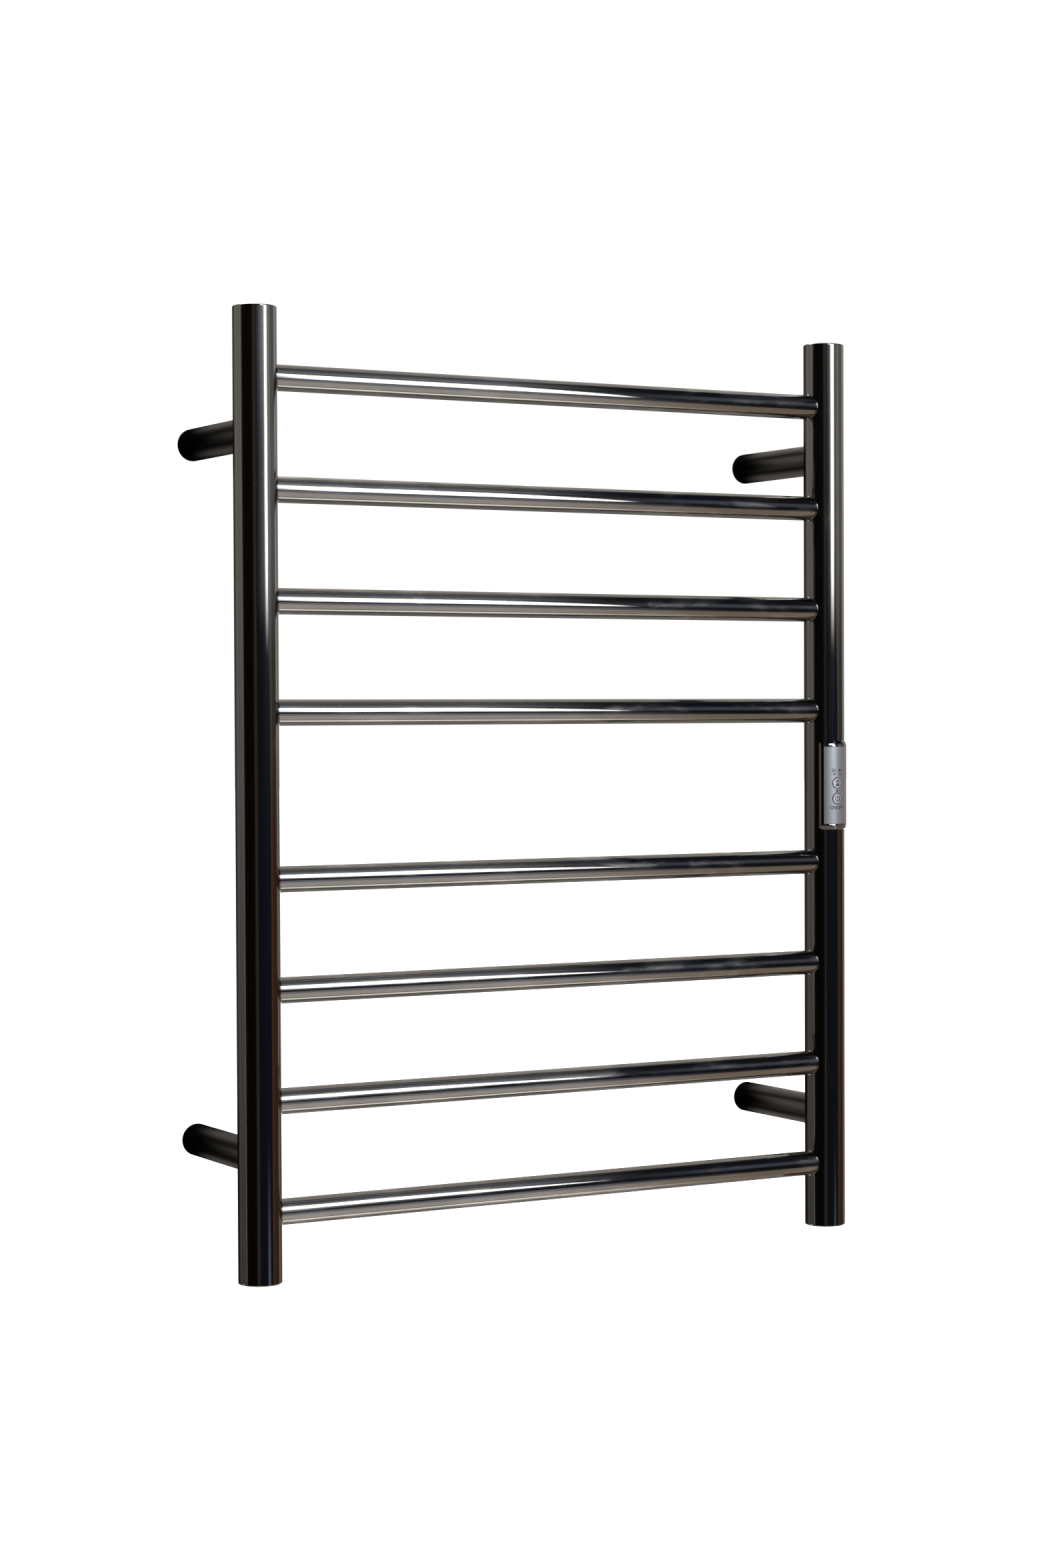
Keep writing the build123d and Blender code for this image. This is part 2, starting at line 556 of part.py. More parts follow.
shoulder_z = CONTROL_HEIGHT / 2 - SHOULDER_LENGTH
shoulder_r = upright_r + SHOULDER_STEP
latch_half = box_half_width + LATCH_RISE
latch_front = math.sqrt(bore_r**2 - latch_half**2) - BOX_CLEARANCE
with BuildPart() as controller_cover:
    rim = saddle_section(cover_r, pocket_r, CONTROL_EDGE_RADIUS, -CONTROL_HEIGHT / 2)
    extrude(rim, amount=CONTROL_HEIGHT)
    with BuildSketch(from_axis()):
        Rectangle(PANEL_WIDTH + 2 * PANEL_CLEARANCE, PANEL_HEIGHT + 2 * PANEL_CLEARANCE)
    extrude(amount=2 * cover_r, mode=Mode.SUBTRACT)
    skin = saddle_section(pocket_r, upright_r + COVER_CLEARANCE, 0, -CONTROL_HEIGHT / 2)
    extrude(skin, amount=CONTROL_HEIGHT)
    # Rounded shoulders at both ends
    with BuildSketch(Plane(origin=(upright_x, rail_y, CONTROL_Z), x_dir=(0, -1, 0), z_dir=(-1, 0, 0))):
        with BuildLine():
            Line((cover_r, -shoulder_z), (cover_r, shoulder_z))
            TangentArc((cover_r, shoulder_z), (shoulder_r, CONTROL_HEIGHT / 2), tangent=(0, 1))
            Polyline((shoulder_r, CONTROL_HEIGHT / 2), (0, CONTROL_HEIGHT / 2),
                     (0, -CONTROL_HEIGHT / 2), (shoulder_r, -CONTROL_HEIGHT / 2))
            TangentArc((cover_r, -shoulder_z), (shoulder_r, -CONTROL_HEIGHT / 2), tangent=(0, -1))
        make_face()
    revolve(axis=Axis((upright_x, rail_y, 0), (0, 0, 1)), mode=Mode.INTERSECT)
    # Rounded corners, seen from the front
    with BuildSketch(from_axis()):
        RectangleRounded(CONTROL_WIDTH + 2 * CORNER_CROSSING, CONTROL_HEIGHT + 2 * CORNER_CROSSING,
                         CONTROL_CORNER_RADIUS)
    extrude(amount=2 * cover_r, mode=Mode.INTERSECT)
    # Room for the seal
    seal_room = block_section(CONTROL_WIDTH / 2 - SEAL_MARGIN, 0, cover_r, seal_r + SEAL_CLEARANCE,
                              SEAL_MARGIN - CONTROL_HEIGHT / 2)
    extrude(seal_room, amount=CONTROL_HEIGHT - 2 * SEAL_MARGIN, mode=Mode.SUBTRACT)
    # Box behind the skin, with a ledge for the circuit board
    box = block_section(box_half_width, box_back, cover_r, seal_r + BOX_BITE, -box_half_height)
    extrude(box, amount=2 * box_half_height)
    inside = block_section(inner_half_width - BOARD_LEDGE, 0, cover_r, seal_r, -inner_half_height)
    extrude(inside, amount=2 * inner_half_height, mode=Mode.SUBTRACT)
    board_room = block_section(inner_half_width, 0, board_front, seal_r, -inner_half_height)
    extrude(board_room, amount=2 * inner_half_height, mode=Mode.SUBTRACT)
    # Latches behind the edges of the window
    for latch_z in (-LATCH_SPACING / 2, LATCH_SPACING / 2):
        with BuildSketch(across_axis(latch_z - LATCH_LENGTH / 2)):
            for side in (-1, 1):
                with BuildLine():
                    Polyline((side * box_half_width, -latch_front), (side * latch_half, -latch_front),
                             (side * box_half_width, LATCH_SLOPE - latch_front), close=True)
                make_face()
        extrude(amount=LATCH_LENGTH)
    # Holes for the buttons and the indicators
    with BuildSketch(from_axis()):
        with Locations(*[(0, z) for z in button_heights]):
            Circle(button_r + BUTTON_CLEARANCE)
        with Locations(*light_places):
            Circle(LIGHT_DIAMETER / 2 + LIGHT_CLEARANCE)
    extrude(amount=2 * cover_r, mode=Mode.SUBTRACT)
    # Notches for the cables in both ends of the box
    cable_notches = notch_section((0, -WIRE_PITCH), CABLE_DIAMETER + 2 * WIRE_CLEARANCE, -box_half_height)
    extrude(cable_notches, amount=2 * box_half_height, mode=Mode.SUBTRACT)
    lead_notch = notch_section((WIRE_PITCH,), SUPPLY_LEAD_DIAMETER + 2 * WIRE_CLEARANCE, -box_half_height)
    extrude(lead_notch, amount=box_half_height, mode=Mode.SUBTRACT)
keep(controller_cover, "controller_cover")


# Back of the box, with posts that hold the board on its ledge
with BuildPart() as controller_back:
    with BuildSketch(from_axis(box_back - BACK_THICKNESS)):
        Rectangle(2 * box_half_width, 2 * box_half_height)
    extrude(amount=BACK_THICKNESS)
    with BuildSketch(from_axis(box_back)):
        with GridLocations(2 * inner_half_width - 2 * BACK_POST_DIAMETER, BACK_POST_SPACING, 2, 2):
            Circle(BACK_POST_DIAMETER / 2)
    extrude(amount=board_back - box_back)
keep(controller_back, "controller_back")


# Seal between the cover and the upright
with BuildPart() as controller_seal:
    with BuildSketch(across_axis(SEAL_MARGIN + SEAL_CLEARANCE - CONTROL_HEIGHT / 2)):
        Circle(seal_r)
        with Locations((0, -seal_r / 2)):
            Rectangle(CONTROL_WIDTH - 2 * SEAL_MARGIN - 2 * SEAL_CLEARANCE, seal_r, mode=Mode.INTERSECT)
        Circle(upright_r + SEAL_CLEARANCE, mode=Mode.SUBTRACT)
    extrude(amount=CONTROL_HEIGHT - 2 * SEAL_MARGIN - 2 * SEAL_CLEARANCE)
    with BuildSketch(from_axis()):
        Rectangle(WINDOW_WIDTH, WINDOW_HEIGHT)
    extrude(amount=2 * seal_r, mode=Mode.SUBTRACT)
keep(controller_seal, "controller_seal")


# Curved face panel in the cover's recess
with BuildPart() as face_panel:
    with BuildSketch(across_axis(-PANEL_HEIGHT / 2)):
        Circle(cover_r)
        with Locations((0, -cover_r / 2)):
            Rectangle(PANEL_WIDTH, cover_r, mode=Mode.INTERSECT)
        Circle(pocket_r + SEAT_GAP, mode=Mode.SUBTRACT)
    extrude(amount=PANEL_HEIGHT)
    with BuildSketch(from_axis()):
        with Locations(*[(0, z) for z in button_heights]):
            Circle(button_r + BUTTON_CLEARANCE)
        with Locations(*light_places):
            Circle(LIGHT_DIAMETER / 2 + LIGHT_CLEARANCE)
    extrude(amount=2 * cover_r, mode=Mode.SUBTRACT)
keep(face_panel, "face_panel")


# Buttons: a head curved like the panel, a flange behind the cover and a stem to the switch
def make_button(z, name):
    with BuildPart() as button:
        with BuildSketch(from_axis(flange_back)):
            with Locations((0, z)):
                Circle(button_r)
        extrude(amount=cover_r)
        with BuildSketch(across_axis(z - BUTTON_DIAMETER)):
            Circle(cover_r + BUTTON_PROUD)
        extrude(amount=2 * BUTTON_DIAMETER, mode=Mode.INTERSECT)
        head = button.faces().filter_by(GeomType.CYLINDER).sort_by(Axis.Y)[0]
        fillet(head.edges(), radius=BUTTON_EDGE_RADIUS)
        with BuildSketch(from_axis(flange_back)):
            with Locations((0, z)):
                Circle(flange_r)
        extrude(amount=BUTTON_FLANGE_THICKNESS)
        with BuildSketch(from_axis(plunger_front + SEAT_GAP)):
            with Locations((0, z)):
                Circle(BUTTON_STEM_DIAMETER / 2)
        extrude(amount=flange_back - plunger_front - SEAT_GAP)
    keep(button, name)


# Tactile switches on the board, and their plungers
def make_switch(z, name):
    socket_back = plunger_front - PLUNGER_LENGTH - BUTTON_TRAVEL - PLUNGER_ROOM
    with BuildPart() as switch:
        with BuildSketch(from_axis(board_front)):
            with Locations((0, z)):
                Rectangle(SWITCH_WIDTH, SWITCH_WIDTH)
        extrude(amount=SWITCH_HEIGHT)
        with BuildSketch(from_axis(socket_back)):
            with Locations((0, z)):
                Circle(PLUNGER_DIAMETER / 2 + PLUNGER_CLEARANCE)
        extrude(amount=cover_r, mode=Mode.SUBTRACT)
    keep(switch, name)


def make_plunger(z, name):
    with BuildPart() as plunger:
        with BuildSketch(from_axis(plunger_front - PLUNGER_LENGTH)):
            with Locations((0, z)):
                Circle(PLUNGER_DIAMETER / 2)
        extrude(amount=PLUNGER_LENGTH)
    keep(plunger, name)


for purpose, button_z in zip(("timer", "power"), button_heights):
    make_button(button_z, f"{purpose}_button")
    make_switch(button_z, f"{purpose}_switch")
    make_plunger(button_z, f"{purpose}_plunger")


# Indicators: a light pipe from the face down to a lamp on the board
with BuildPart() as light_pipes:
    for x, z in light_places:
        with BuildSketch(from_axis(board_front + LAMP_HEIGHT + LAMP_GAP)):
            with Locations((x, z)):
                Circle(LIGHT_DIAMETER / 2)
        extrude(amount=cover_r)
    with BuildSketch(across_axis(POWER_LIGHT_Z - LIGHT_DIAMETER)):
        Circle(cover_r)
    extrude(amount=HOURS_LIGHT_Z - POWER_LIGHT_Z + 2 * LIGHT_DIAMETER, mode=Mode.INTERSECT)
    for x, z in light_places:
        rim_front = math.sqrt(seal_r**2 - (abs(x) + LIGHT_FLANGE_DIAMETER / 2)**2) - SEAT_GAP
        with BuildSketch(from_axis(rim_front - LIGHT_FLANGE_THICKNESS)):
            with Locations((x, z)):
                Circle(LIGHT_FLANGE_DIAMETER / 2)
        extrude(amount=LIGHT_FLANGE_THICKNESS)
keep(light_pipes, "light_pipes")

with BuildPart() as indicator_lamps:
    with BuildSketch(from_axis(board_front)):
        with Locations(*light_places):
            Rectangle(LAMP_LENGTH, LAMP_WIDTH)
    extrude(amount=LAMP_HEIGHT)
keep(indicator_lamps, "indicator_lamps")


# Circuit board, and the parts on it
with BuildPart() as circuit_board:
    with BuildSketch(from_axis(board_back)):
        Rectangle(2 * inner_half_width - 2 * BOARD_CLEARANCE, 2 * inner_half_height - 2 * BOARD_CLEARANCE)
    extrude(amount=BOARD_THICKNESS)
keep(circuit_board, "circuit_board")

with BuildPart() as control_chip:
    with BuildSketch(from_axis(board_front)):
        with Locations((0, CHIP_Z)):
            Rectangle(CHIP_SIZE[0], CHIP_SIZE[1])
    extrude(amount=CHIP_SIZE[2])
keep(control_chip, "control_chip")

with BuildPart() as heater_relay:
    with BuildSketch(from_axis(board_back)):
        with Locations((0, RELAY_Z)):
            Rectangle(RELAY_SIZE[0], RELAY_SIZE[1])
    extrude(amount=-RELAY_SIZE[2])
keep(heater_relay, "heater_relay")

with BuildPart() as capacitor:
    with BuildSketch(from_axis(board_back)):
        with Locations((0, CAPACITOR_Z)):
            Rectangle(CAPACITOR_SIZE[0], CAPACITOR_SIZE[1])
    extrude(amount=-CAPACITOR_SIZE[2])
keep(capacitor, "capacitor")

with BuildPart() as thermal_fuse:
    fuse_forward = board_back - FUSE_DIAMETER / 2 - BOARD_CLEARANCE
    fuse_start = inside_upright(-FUSE_LENGTH / 2, fuse_forward, CONTROL_Z + FUSE_Z)
    with BuildSketch(Plane(origin=fuse_start, z_dir=(1, 0, 0))):
        Circle(FUSE_DIAMETER / 2)
    extrude(amount=FUSE_LENGTH)
keep(thermal_fuse, "thermal_fuse")


# Connectors at both ends of the board, where the cables land
def make_connector(wires, end, name):
    middle = sum(wires) / len(wires) * WIRE_PITCH
    width = (max(wires) - min(wires)) * WIRE_PITCH + SUPPLY_LEAD_DIAMETER
    with BuildPart() as connector:
        with BuildSketch(from_axis(board_back)):
            with Locations((middle, end * (wire_end - SEAT_GAP - CONNECTOR_LENGTH / 2))):
                Rectangle(width, CONNECTOR_LENGTH)
        extrude(amount=-CONNECTOR_HEIGHT)
    keep(connector, name)


make_connector((-1, 0), 1, "upper_connector")
make_connector((-1, 0, 1), -1, "lower_connector")
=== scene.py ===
import math

import bmesh
import bpy
from mathutils import Matrix, Vector


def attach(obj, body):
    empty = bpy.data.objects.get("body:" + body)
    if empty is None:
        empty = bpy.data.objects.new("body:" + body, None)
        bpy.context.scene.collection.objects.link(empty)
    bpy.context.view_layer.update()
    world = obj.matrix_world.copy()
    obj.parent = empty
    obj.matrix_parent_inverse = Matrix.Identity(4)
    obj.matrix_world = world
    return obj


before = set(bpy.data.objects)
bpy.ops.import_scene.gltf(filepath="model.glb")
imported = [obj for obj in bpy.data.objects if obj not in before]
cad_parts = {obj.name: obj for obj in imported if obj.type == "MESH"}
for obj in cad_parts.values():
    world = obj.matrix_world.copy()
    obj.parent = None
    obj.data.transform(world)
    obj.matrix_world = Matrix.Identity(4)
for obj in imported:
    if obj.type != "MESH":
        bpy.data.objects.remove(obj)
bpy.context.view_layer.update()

MM = 0.001

# The rail, in metres, in the frame of the CAD model
UPRIGHT_AXIS = 0.247            # each upright stands this far from the middle
RAIL_DEPTH = -0.114             # the plane of the tubes, in front of the wall at 0
UPRIGHT_RADIUS = 0.0159
BAR_RADIUS = 0.0095
FIRST_BAR_HEIGHT = 0.060        # above and below the middle
BAR_PITCH = 0.080
BARS_PER_GROUP = 4
BRACKET_HEIGHT = 0.260          # above and below the middle
WELD_RADIUS = 0.0006
WELD_STEPS = 72                 # round a bar
WELD_SIDES = 10                 # of a bead's own section

# The control unit, on the front of the right upright
FACE_RADIUS = 17.9 * MM         # of the silver panel, about the upright's axis
BUTTON_RADIUS = 18.4 * MM       # of the buttons' curved heads
CONTROL_HEIGHT = 0.9 * MM       # the unit's middle, above the rail's
TIMER_HEIGHT = CONTROL_HEIGHT + 1.7 * MM
POWER_HEIGHT = CONTROL_HEIGHT - 10.5 * MM
HOURS_HEIGHT = CONTROL_HEIGHT + 11.9 * MM
SWITCH_HEIGHT = CONTROL_HEIGHT - 17.6 * MM

# The lip under the silver face
LIP_TOP = CONTROL_HEIGHT - 30.65 * MM
LIP_RADIUS = 17.9 * MM
LIP_DEPTH = 1.2 * MM
LIP_CURVE = 5.8 * MM            # radius of the part that leans back
LIP_ROLL = 0.5 * MM             # radius of the rolled edge below
LIP_HALF_ANGLE = math.radians(34.0)
LIP_STEPS = 48                  # from side to side
LEAN_START, LEAN_END, LEAN_STEPS = 17.0, 4.0, 6     # degrees above level that its surface faces
ROLL_END, ROLL_STEPS = -80.0, 8

# Legends, signs and the painted shade ring round each button, in millimetres where no MM is written
INK_RAISE = 0.02 * MM
INK_SINK = 0.05 * MM
INK_STRIP = 0.3 * MM            # the ink is cut into strips this wide, so that it follows the curve
INK_JOIN = 0.002 * MM           # corners nearer than this are one
CAPITAL_SHARE = 0.69            # height of a capital letter, as a share of the text's size
BOLD_SHARE = 0.02               # how far the letters are thickened, as a share of that size
HOURS_SIZE = 2.4
TWO_HOURS_ACROSS, FOUR_HOURS_ACROSS = -3.1, 2.7
SWITCH_SIZE, SWITCH_ACROSS, SWITCH_NARROW = 2.6, -0.2, 0.84
# the ring at each button's edge is painted shade: ink that darkens the edge as the gap round the button does
RIM_RADIUS, RIM_WIDTH, RIM_STEPS = 4.08, 0.42, 72
GLASS_WIDTH, PLATE_WIDTH, PLATE_REACH = 0.55, 0.66, 1.5
POWER_RADIUS, POWER_WIDTH, POWER_STEPS = 1.9, 0.66, 40
POWER_GAP_END, POWER_GAP_START = 122.0, 418.0       # degrees, round the ring's open top
POWER_STEM = (0.4, 2.4)

# The photograph's camera
CAMERA_PLACE = Vector((-1.13963, -2.08649, 0.05782))
CAMERA_YAW = math.radians(29.384)
CAMERA_PITCH = math.radians(-1.319)
CAMERA_ROLL = math.radians(-0.243)
CAMERA_LENS = 69.16             # millimetres, on a sensor this many along the picture's long side
CAMERA_SENSOR = 36.0
CAMERA_NEAR, CAMERA_FAR = 0.05, 60.0

# The studio
SOFTBOX_PLACE = Vector((0.646, -1.514, 0.640))
SOFTBOX_SIZE = (0.572, 1.020)
SOFTBOX_POWER = 16.5
SOFTBOX_FADE = {"left": 0.16, "right": 0.035, "lower": 0.18, "upper": 0.08}     # widths of its soft edges
SOFTBOX_SLANT = 0.11            # how far its right edge leans in at the top, as a share of its width
# a second one fills the control unit's face, and a third lights the back; both are placed where no tube
# mirrors them towards the photograph's camera
FILL_SOFTBOX_PLACE = Vector((0.21, -1.80, 0.98))
FILL_SOFTBOX_SIZE = (0.58, 0.60)
FILL_SOFTBOX_POWER = 30.0
FILL_SOFTBOX_FADE = {"left": 0.34, "right": 0.05, "lower": 0.06, "upper": 0.20}
BACK_SOFTBOX_PLACE = Vector((0.0, 0.90, 1.60))
BACK_SOFTBOX_SIZE = (0.90, 0.40)
BACK_SOFTBOX_POWER = 12.0
FLOOR_HEIGHT = -0.80
FLOOR_REACH = 30.0
FLOOR_GLOW = 1.3
BACKDROP_GLOW = 1.1             # the white that the camera sees behind the rail
AMBIENT_GLOW = 0.55             # the even light on surfaces that aren't mirrors

# Painted shadow at the foot of each bracket: a black ring just behind the wall's plane, seen only in
# reflections, that starts at the sleeve and fades out
CONTACT_INNER, CONTACT_DARK, CONTACT_OUTER = 0.0125, 0.030, 0.075
CONTACT_FLATTEN = 2.0           # it fades this much sooner upwards than sideways
CONTACT_BEHIND = 0.0005         # behind the wall's plane
CONTACT_STEPS = 48


def node(tree, kind, values=None, **settings):
    """Adds a node. values gives its inputs by name or number: a constant, or another node's output."""
    made = tree.nodes.new(kind)
    for name, value in settings.items():
        setattr(made, name, value)
    for key, value in (values or {}).items():
        if isinstance(value, bpy.types.NodeSocket):
            tree.links.new(value, made.inputs[key])
        else:
            made.inputs[key].default_value = value
    return made


def calculate(tree, operation, first, second=0.0):
    return node(tree, "ShaderNodeMath", {0: first, 1: second}, operation=operation).outputs[0]


def times(tree, first, *others):
    """The product of values, from the first to the last."""
    for other in others:
        first = calculate(tree, "MULTIPLY", first, other)
    return first


def plus(tree, first, second):
    return calculate(tree, "ADD", first, second)


def size_of(tree, value):
    return calculate(tree, "ABSOLUTE", value)


def degrees(tree, up, along):
    """The angle of a direction, from what it has up and along."""
    return times(tree, calculate(tree, "ARCTAN2", up, along), 180.0 / math.pi)


def joined(tree, operation, first, second):
    """Two vectors made one."""
    return node(tree, "ShaderNodeVectorMath", {0: first, 1: second}, operation=operation).outputs[0]


def scaled(tree, vector, factor):
    return node(tree, "ShaderNodeVectorMath", {0: vector, "Scale": factor}, operation="SCALE").outputs[0]


def parted(tree, vector):
    """The three parts of a vector."""
    return node(tree, "ShaderNodeSeparateXYZ", {0: vector}).outputs


def ramp(tree, value, low, high, to_low=0.0, to_high=1.0):
    """A smooth step of a value from low to high."""
    made = node(tree, "ShaderNodeMapRange", {0: value, 1: low, 2: high, 3: to_low, 4: to_high},
                interpolation_type="SMOOTHSTEP")
    return made.outputs[0]


def band(tree, value, low, high, soft):
    """1 between low and high, with soft edges."""
    return times(tree, ramp(tree, value, low - soft, low + soft),
                 ramp(tree, value, high - soft, high + soft, 1.0, 0.0))


def mix(tree, share, first, second):
    made = node(tree, "ShaderNodeMix", {0: share, 6: first, 7: second}, data_type="RGBA")
    return made.outputs[2]


def opaque(red, green, blue):
    return (red, green, blue, 1.0)


WHITE = opaque(1.0, 1.0, 1.0)
BLACK = opaque(0.0, 0.0, 0.0)


def place_in_scene(name, content):
    """An object with the given mesh, light, text or camera."""
    made = bpy.data.objects.new(name, content)
    bpy.context.scene.collection.objects.link(made)
    return made


# Camera and studio

def make_camera():
    ahead = Vector((math.sin(CAMERA_YAW) * math.cos(CAMERA_PITCH),
                    math.cos(CAMERA_YAW) * math.cos(CAMERA_PITCH),
                    math.sin(CAMERA_PITCH)))
    level = Vector((math.cos(CAMERA_YAW), -math.sin(CAMERA_YAW), 0.0))
    upward = level.cross(ahead)
    right = level * math.cos(CAMERA_ROLL) + upward * math.sin(CAMERA_ROLL)
    top = upward * math.cos(CAMERA_ROLL) - level * math.sin(CAMERA_ROLL)
    turn = Matrix((right, top, -ahead)).transposed().to_4x4()
    lens = bpy.data.cameras.new("camera")
    lens.lens = CAMERA_LENS
    lens.sensor_width = CAMERA_SENSOR
    lens.clip_start = CAMERA_NEAR
    lens.clip_end = CAMERA_FAR
    camera = place_in_scene("camera", lens)
    camera.matrix_world = Matrix.Translation(CAMERA_PLACE) @ turn
    bpy.context.scene.camera = camera


def make_softbox(name, place, size, power, towards):
    """A softbox that faces a point."""
    lamp = bpy.data.lights.new(name, "AREA")
    lamp.shape = "RECTANGLE"
    lamp.size, lamp.size_y = size
    lamp.energy = power
    softbox = place_in_scene(name, lamp)
    softbox.location = place
    softbox.rotation_euler = (towards - place).to_track_quat("-Z", "Y").to_euler()
    softbox.visible_camera = False
    return lamp


def soften_edges(lamp, fade, slant):
    """Fades a softbox towards its edges. fade gives each edge's width, slant the lean of the right one."""
    lamp.use_nodes = True
    tree = lamp.node_tree
    across, up, _ = parted(tree, node(tree, "ShaderNodeNewGeometry").outputs["Parametric"])
    leaning = plus(tree, across, times(tree, up, slant))
    glow = times(tree, ramp(tree, across, 0.0, fade["left"] / lamp.size),
                 ramp(tree, leaning, 1.0, 1.0 - fade["right"] / lamp.size),
                 ramp(tree, up, 0.0, fade["lower"] / lamp.size_y),
                 ramp(tree, up, 1.0, 1.0 - fade["upper"] / lamp.size_y))
    tree.links.new(glow, tree.nodes["Emission"].inputs["Strength"])


# What the polish mirrors is laid out by direction: x to the right, y to the wall and z up, as parts of a
# direction of length 1, and around in degrees, 0 in front and positive to the right.

def front_of_studio(tree, x, z, around):
    """The dark front, the haze beside the softbox, and what is over and past the softbox."""
    colour = mix(tree, ramp(tree, around, -26.0, -12.0),
                 opaque(0.006, 0.005, 0.004), opaque(0.013, 0.017, 0.028))
    # a haze that grows towards the softbox
    haze = times(tree, calculate(tree, "POWER", ramp(tree, around, -40.0, 22.0), 2.2),
                 ramp(tree, around, 24.0, 30.0, 1.0, 0.0),
                 band(tree, z, 0.036, 0.30, 0.010),
                 ramp(tree, z, 0.085, 0.125, 0.45, 1.0))
    colour = mix(tree, haze, colour, opaque(0.58, 0.60, 0.62))
    # the dim corner in front on the left
    corner = times(tree, band(tree, around, -36.0, -23.0, 5.0), 0.9)
    colour = mix(tree, corner, colour, opaque(0.11, 0.095, 0.075))
    # blue sheen past the softbox
    sheen = times(tree, band(tree, x, 0.53, 0.64, 0.015),
                  band(tree, z, 0.10, 0.52, 0.07),
                  ramp(tree, x, 0.545, 0.565, 1.0, 0.5),
                  ramp(tree, around, 46.0, 42.0))
    colour = mix(tree, sheen, colour, opaque(0.105, 0.135, 0.20))
    # pale strip over the softbox and the ceiling above it
    overhead = times(tree, band(tree, x, 0.36, 0.497, 0.025),
                     ramp(tree, z, 0.50, 0.62),
                     ramp(tree, z, 0.62, 0.92, 1.0, 0.3))
    return mix(tree, overhead, colour, opaque(0.54, 0.59, 0.64))


def side_of_studio(tree, z, around, stripes, colour):
    """The side wall on the right, brown below, with a darker bay and a lighter edge before it."""
    start = ramp(tree, z, 0.00, 0.04, 12.0, 0.0)
    side = times(tree, ramp(tree, calculate(tree, "SUBTRACT", around, start), 33.0, 42.0),
                 ramp(tree, z, 0.55, 0.25))
    paint = mix(tree, ramp(tree, z, -0.045, 0.005), opaque(0.18, 0.085, 0.045), opaque(0.19, 0.165, 0.145))
    paint = mix(tree, ramp(tree, z, 0.015, 0.055), paint, opaque(0.45, 0.43, 0.41))
    bay = times(tree, band(tree, around, 66.0, 90.0, 4.0), -0.42)
    edge = times(tree, band(tree, around, 52.0, 60.0, 3.0), 0.25)
    paint = scaled(tree, paint, plus(tree, plus(tree, bay, 1.0), edge))
    return mix(tree, side, colour, scaled(tree, paint, stripes))


def floor_of_studio(tree, x, z, front, colour):
    """The floor, with a blue edge under the softbox and the bright edge of a floor cloth beside its shade."""
    lit_strip = band(tree, x, 0.36, 0.515, 0.04)
    colour = mix(tree, times(tree, lit_strip, ramp(tree, z, -0.135, -0.20)), colour, opaque(0.46, 0.49, 0.58))
    floor_colour = mix(tree, lit_strip, opaque(0.56, 0.44, 0.32), opaque(1.12, 1.04, 0.94))
    colour = mix(tree, ramp(tree, z, -0.30, -0.54), colour, floor_colour)
    below = degrees(tree, z, front)
    cloth_shade = times(tree, band(tree, below, -72.5, -67.0, 1.5), lit_strip)
    colour = mix(tree, cloth_shade, colour, opaque(0.34, 0.31, 0.28))
    cloth_edge = times(tree, band(tree, below, -86.0, -75.5, 1.5), lit_strip)
    return mix(tree, cloth_edge, colour, opaque(3.4, 3.25, 3.05))


def back_of_studio(tree, x, y, z, around, stripes, colour):
    """The wall behind, darker towards the floor and straight behind, its bright edges and two tall lights."""
    height = size_of(tree, z)
    aside = size_of(tree, around)
    fold = times(tree, band(tree, x, -0.42, -0.15, 0.08), ramp(tree, height, 0.08, 0.22))
    shade = times(tree, ramp(tree, z, -0.20, 0.15, 0.15, 0.44), stripes,
                  ramp(tree, aside, 140.0, 170.0, 1.0, 0.22),
                  ramp(tree, fold, 0.0, 1.0, 1.0, 0.15))
    lift = times(tree, ramp(tree, height, 0.2, 0.6, 0.0, 0.25), ramp(tree, x, -0.30, 0.0))
    wall_colour = scaled(tree, (1.0, 0.93, 0.85), plus(tree, shade, lift))
    colour = mix(tree, ramp(tree, y, 0.13, 0.21), colour, wall_colour)
    # bright edges of the wall, on the right and on the left
    edge = times(tree, band(tree, around, 95.0, 106.0, 3.0), ramp(tree, z, 0.02, -0.04, 1.0, 0.35))
    colour = mix(tree, edge, colour, opaque(0.98, 0.95, 0.91))
    edge = times(tree, band(tree, around, -99.0, -96.5, 1.0), ramp(tree, z, 0.10, -0.02, 0.3, 1.0))
    colour = mix(tree, edge, colour, opaque(0.70, 0.66, 0.60))
    # tall lights low behind, on both sides, which no tube mirrors towards the photograph's camera
    tall = times(tree, band(tree, aside, 119.0, 135.0, 2.0), band(tree, z, -0.55, -0.25, 0.03))
    return mix(tree, tall, colour, opaque(4.0, 3.9, 3.8))


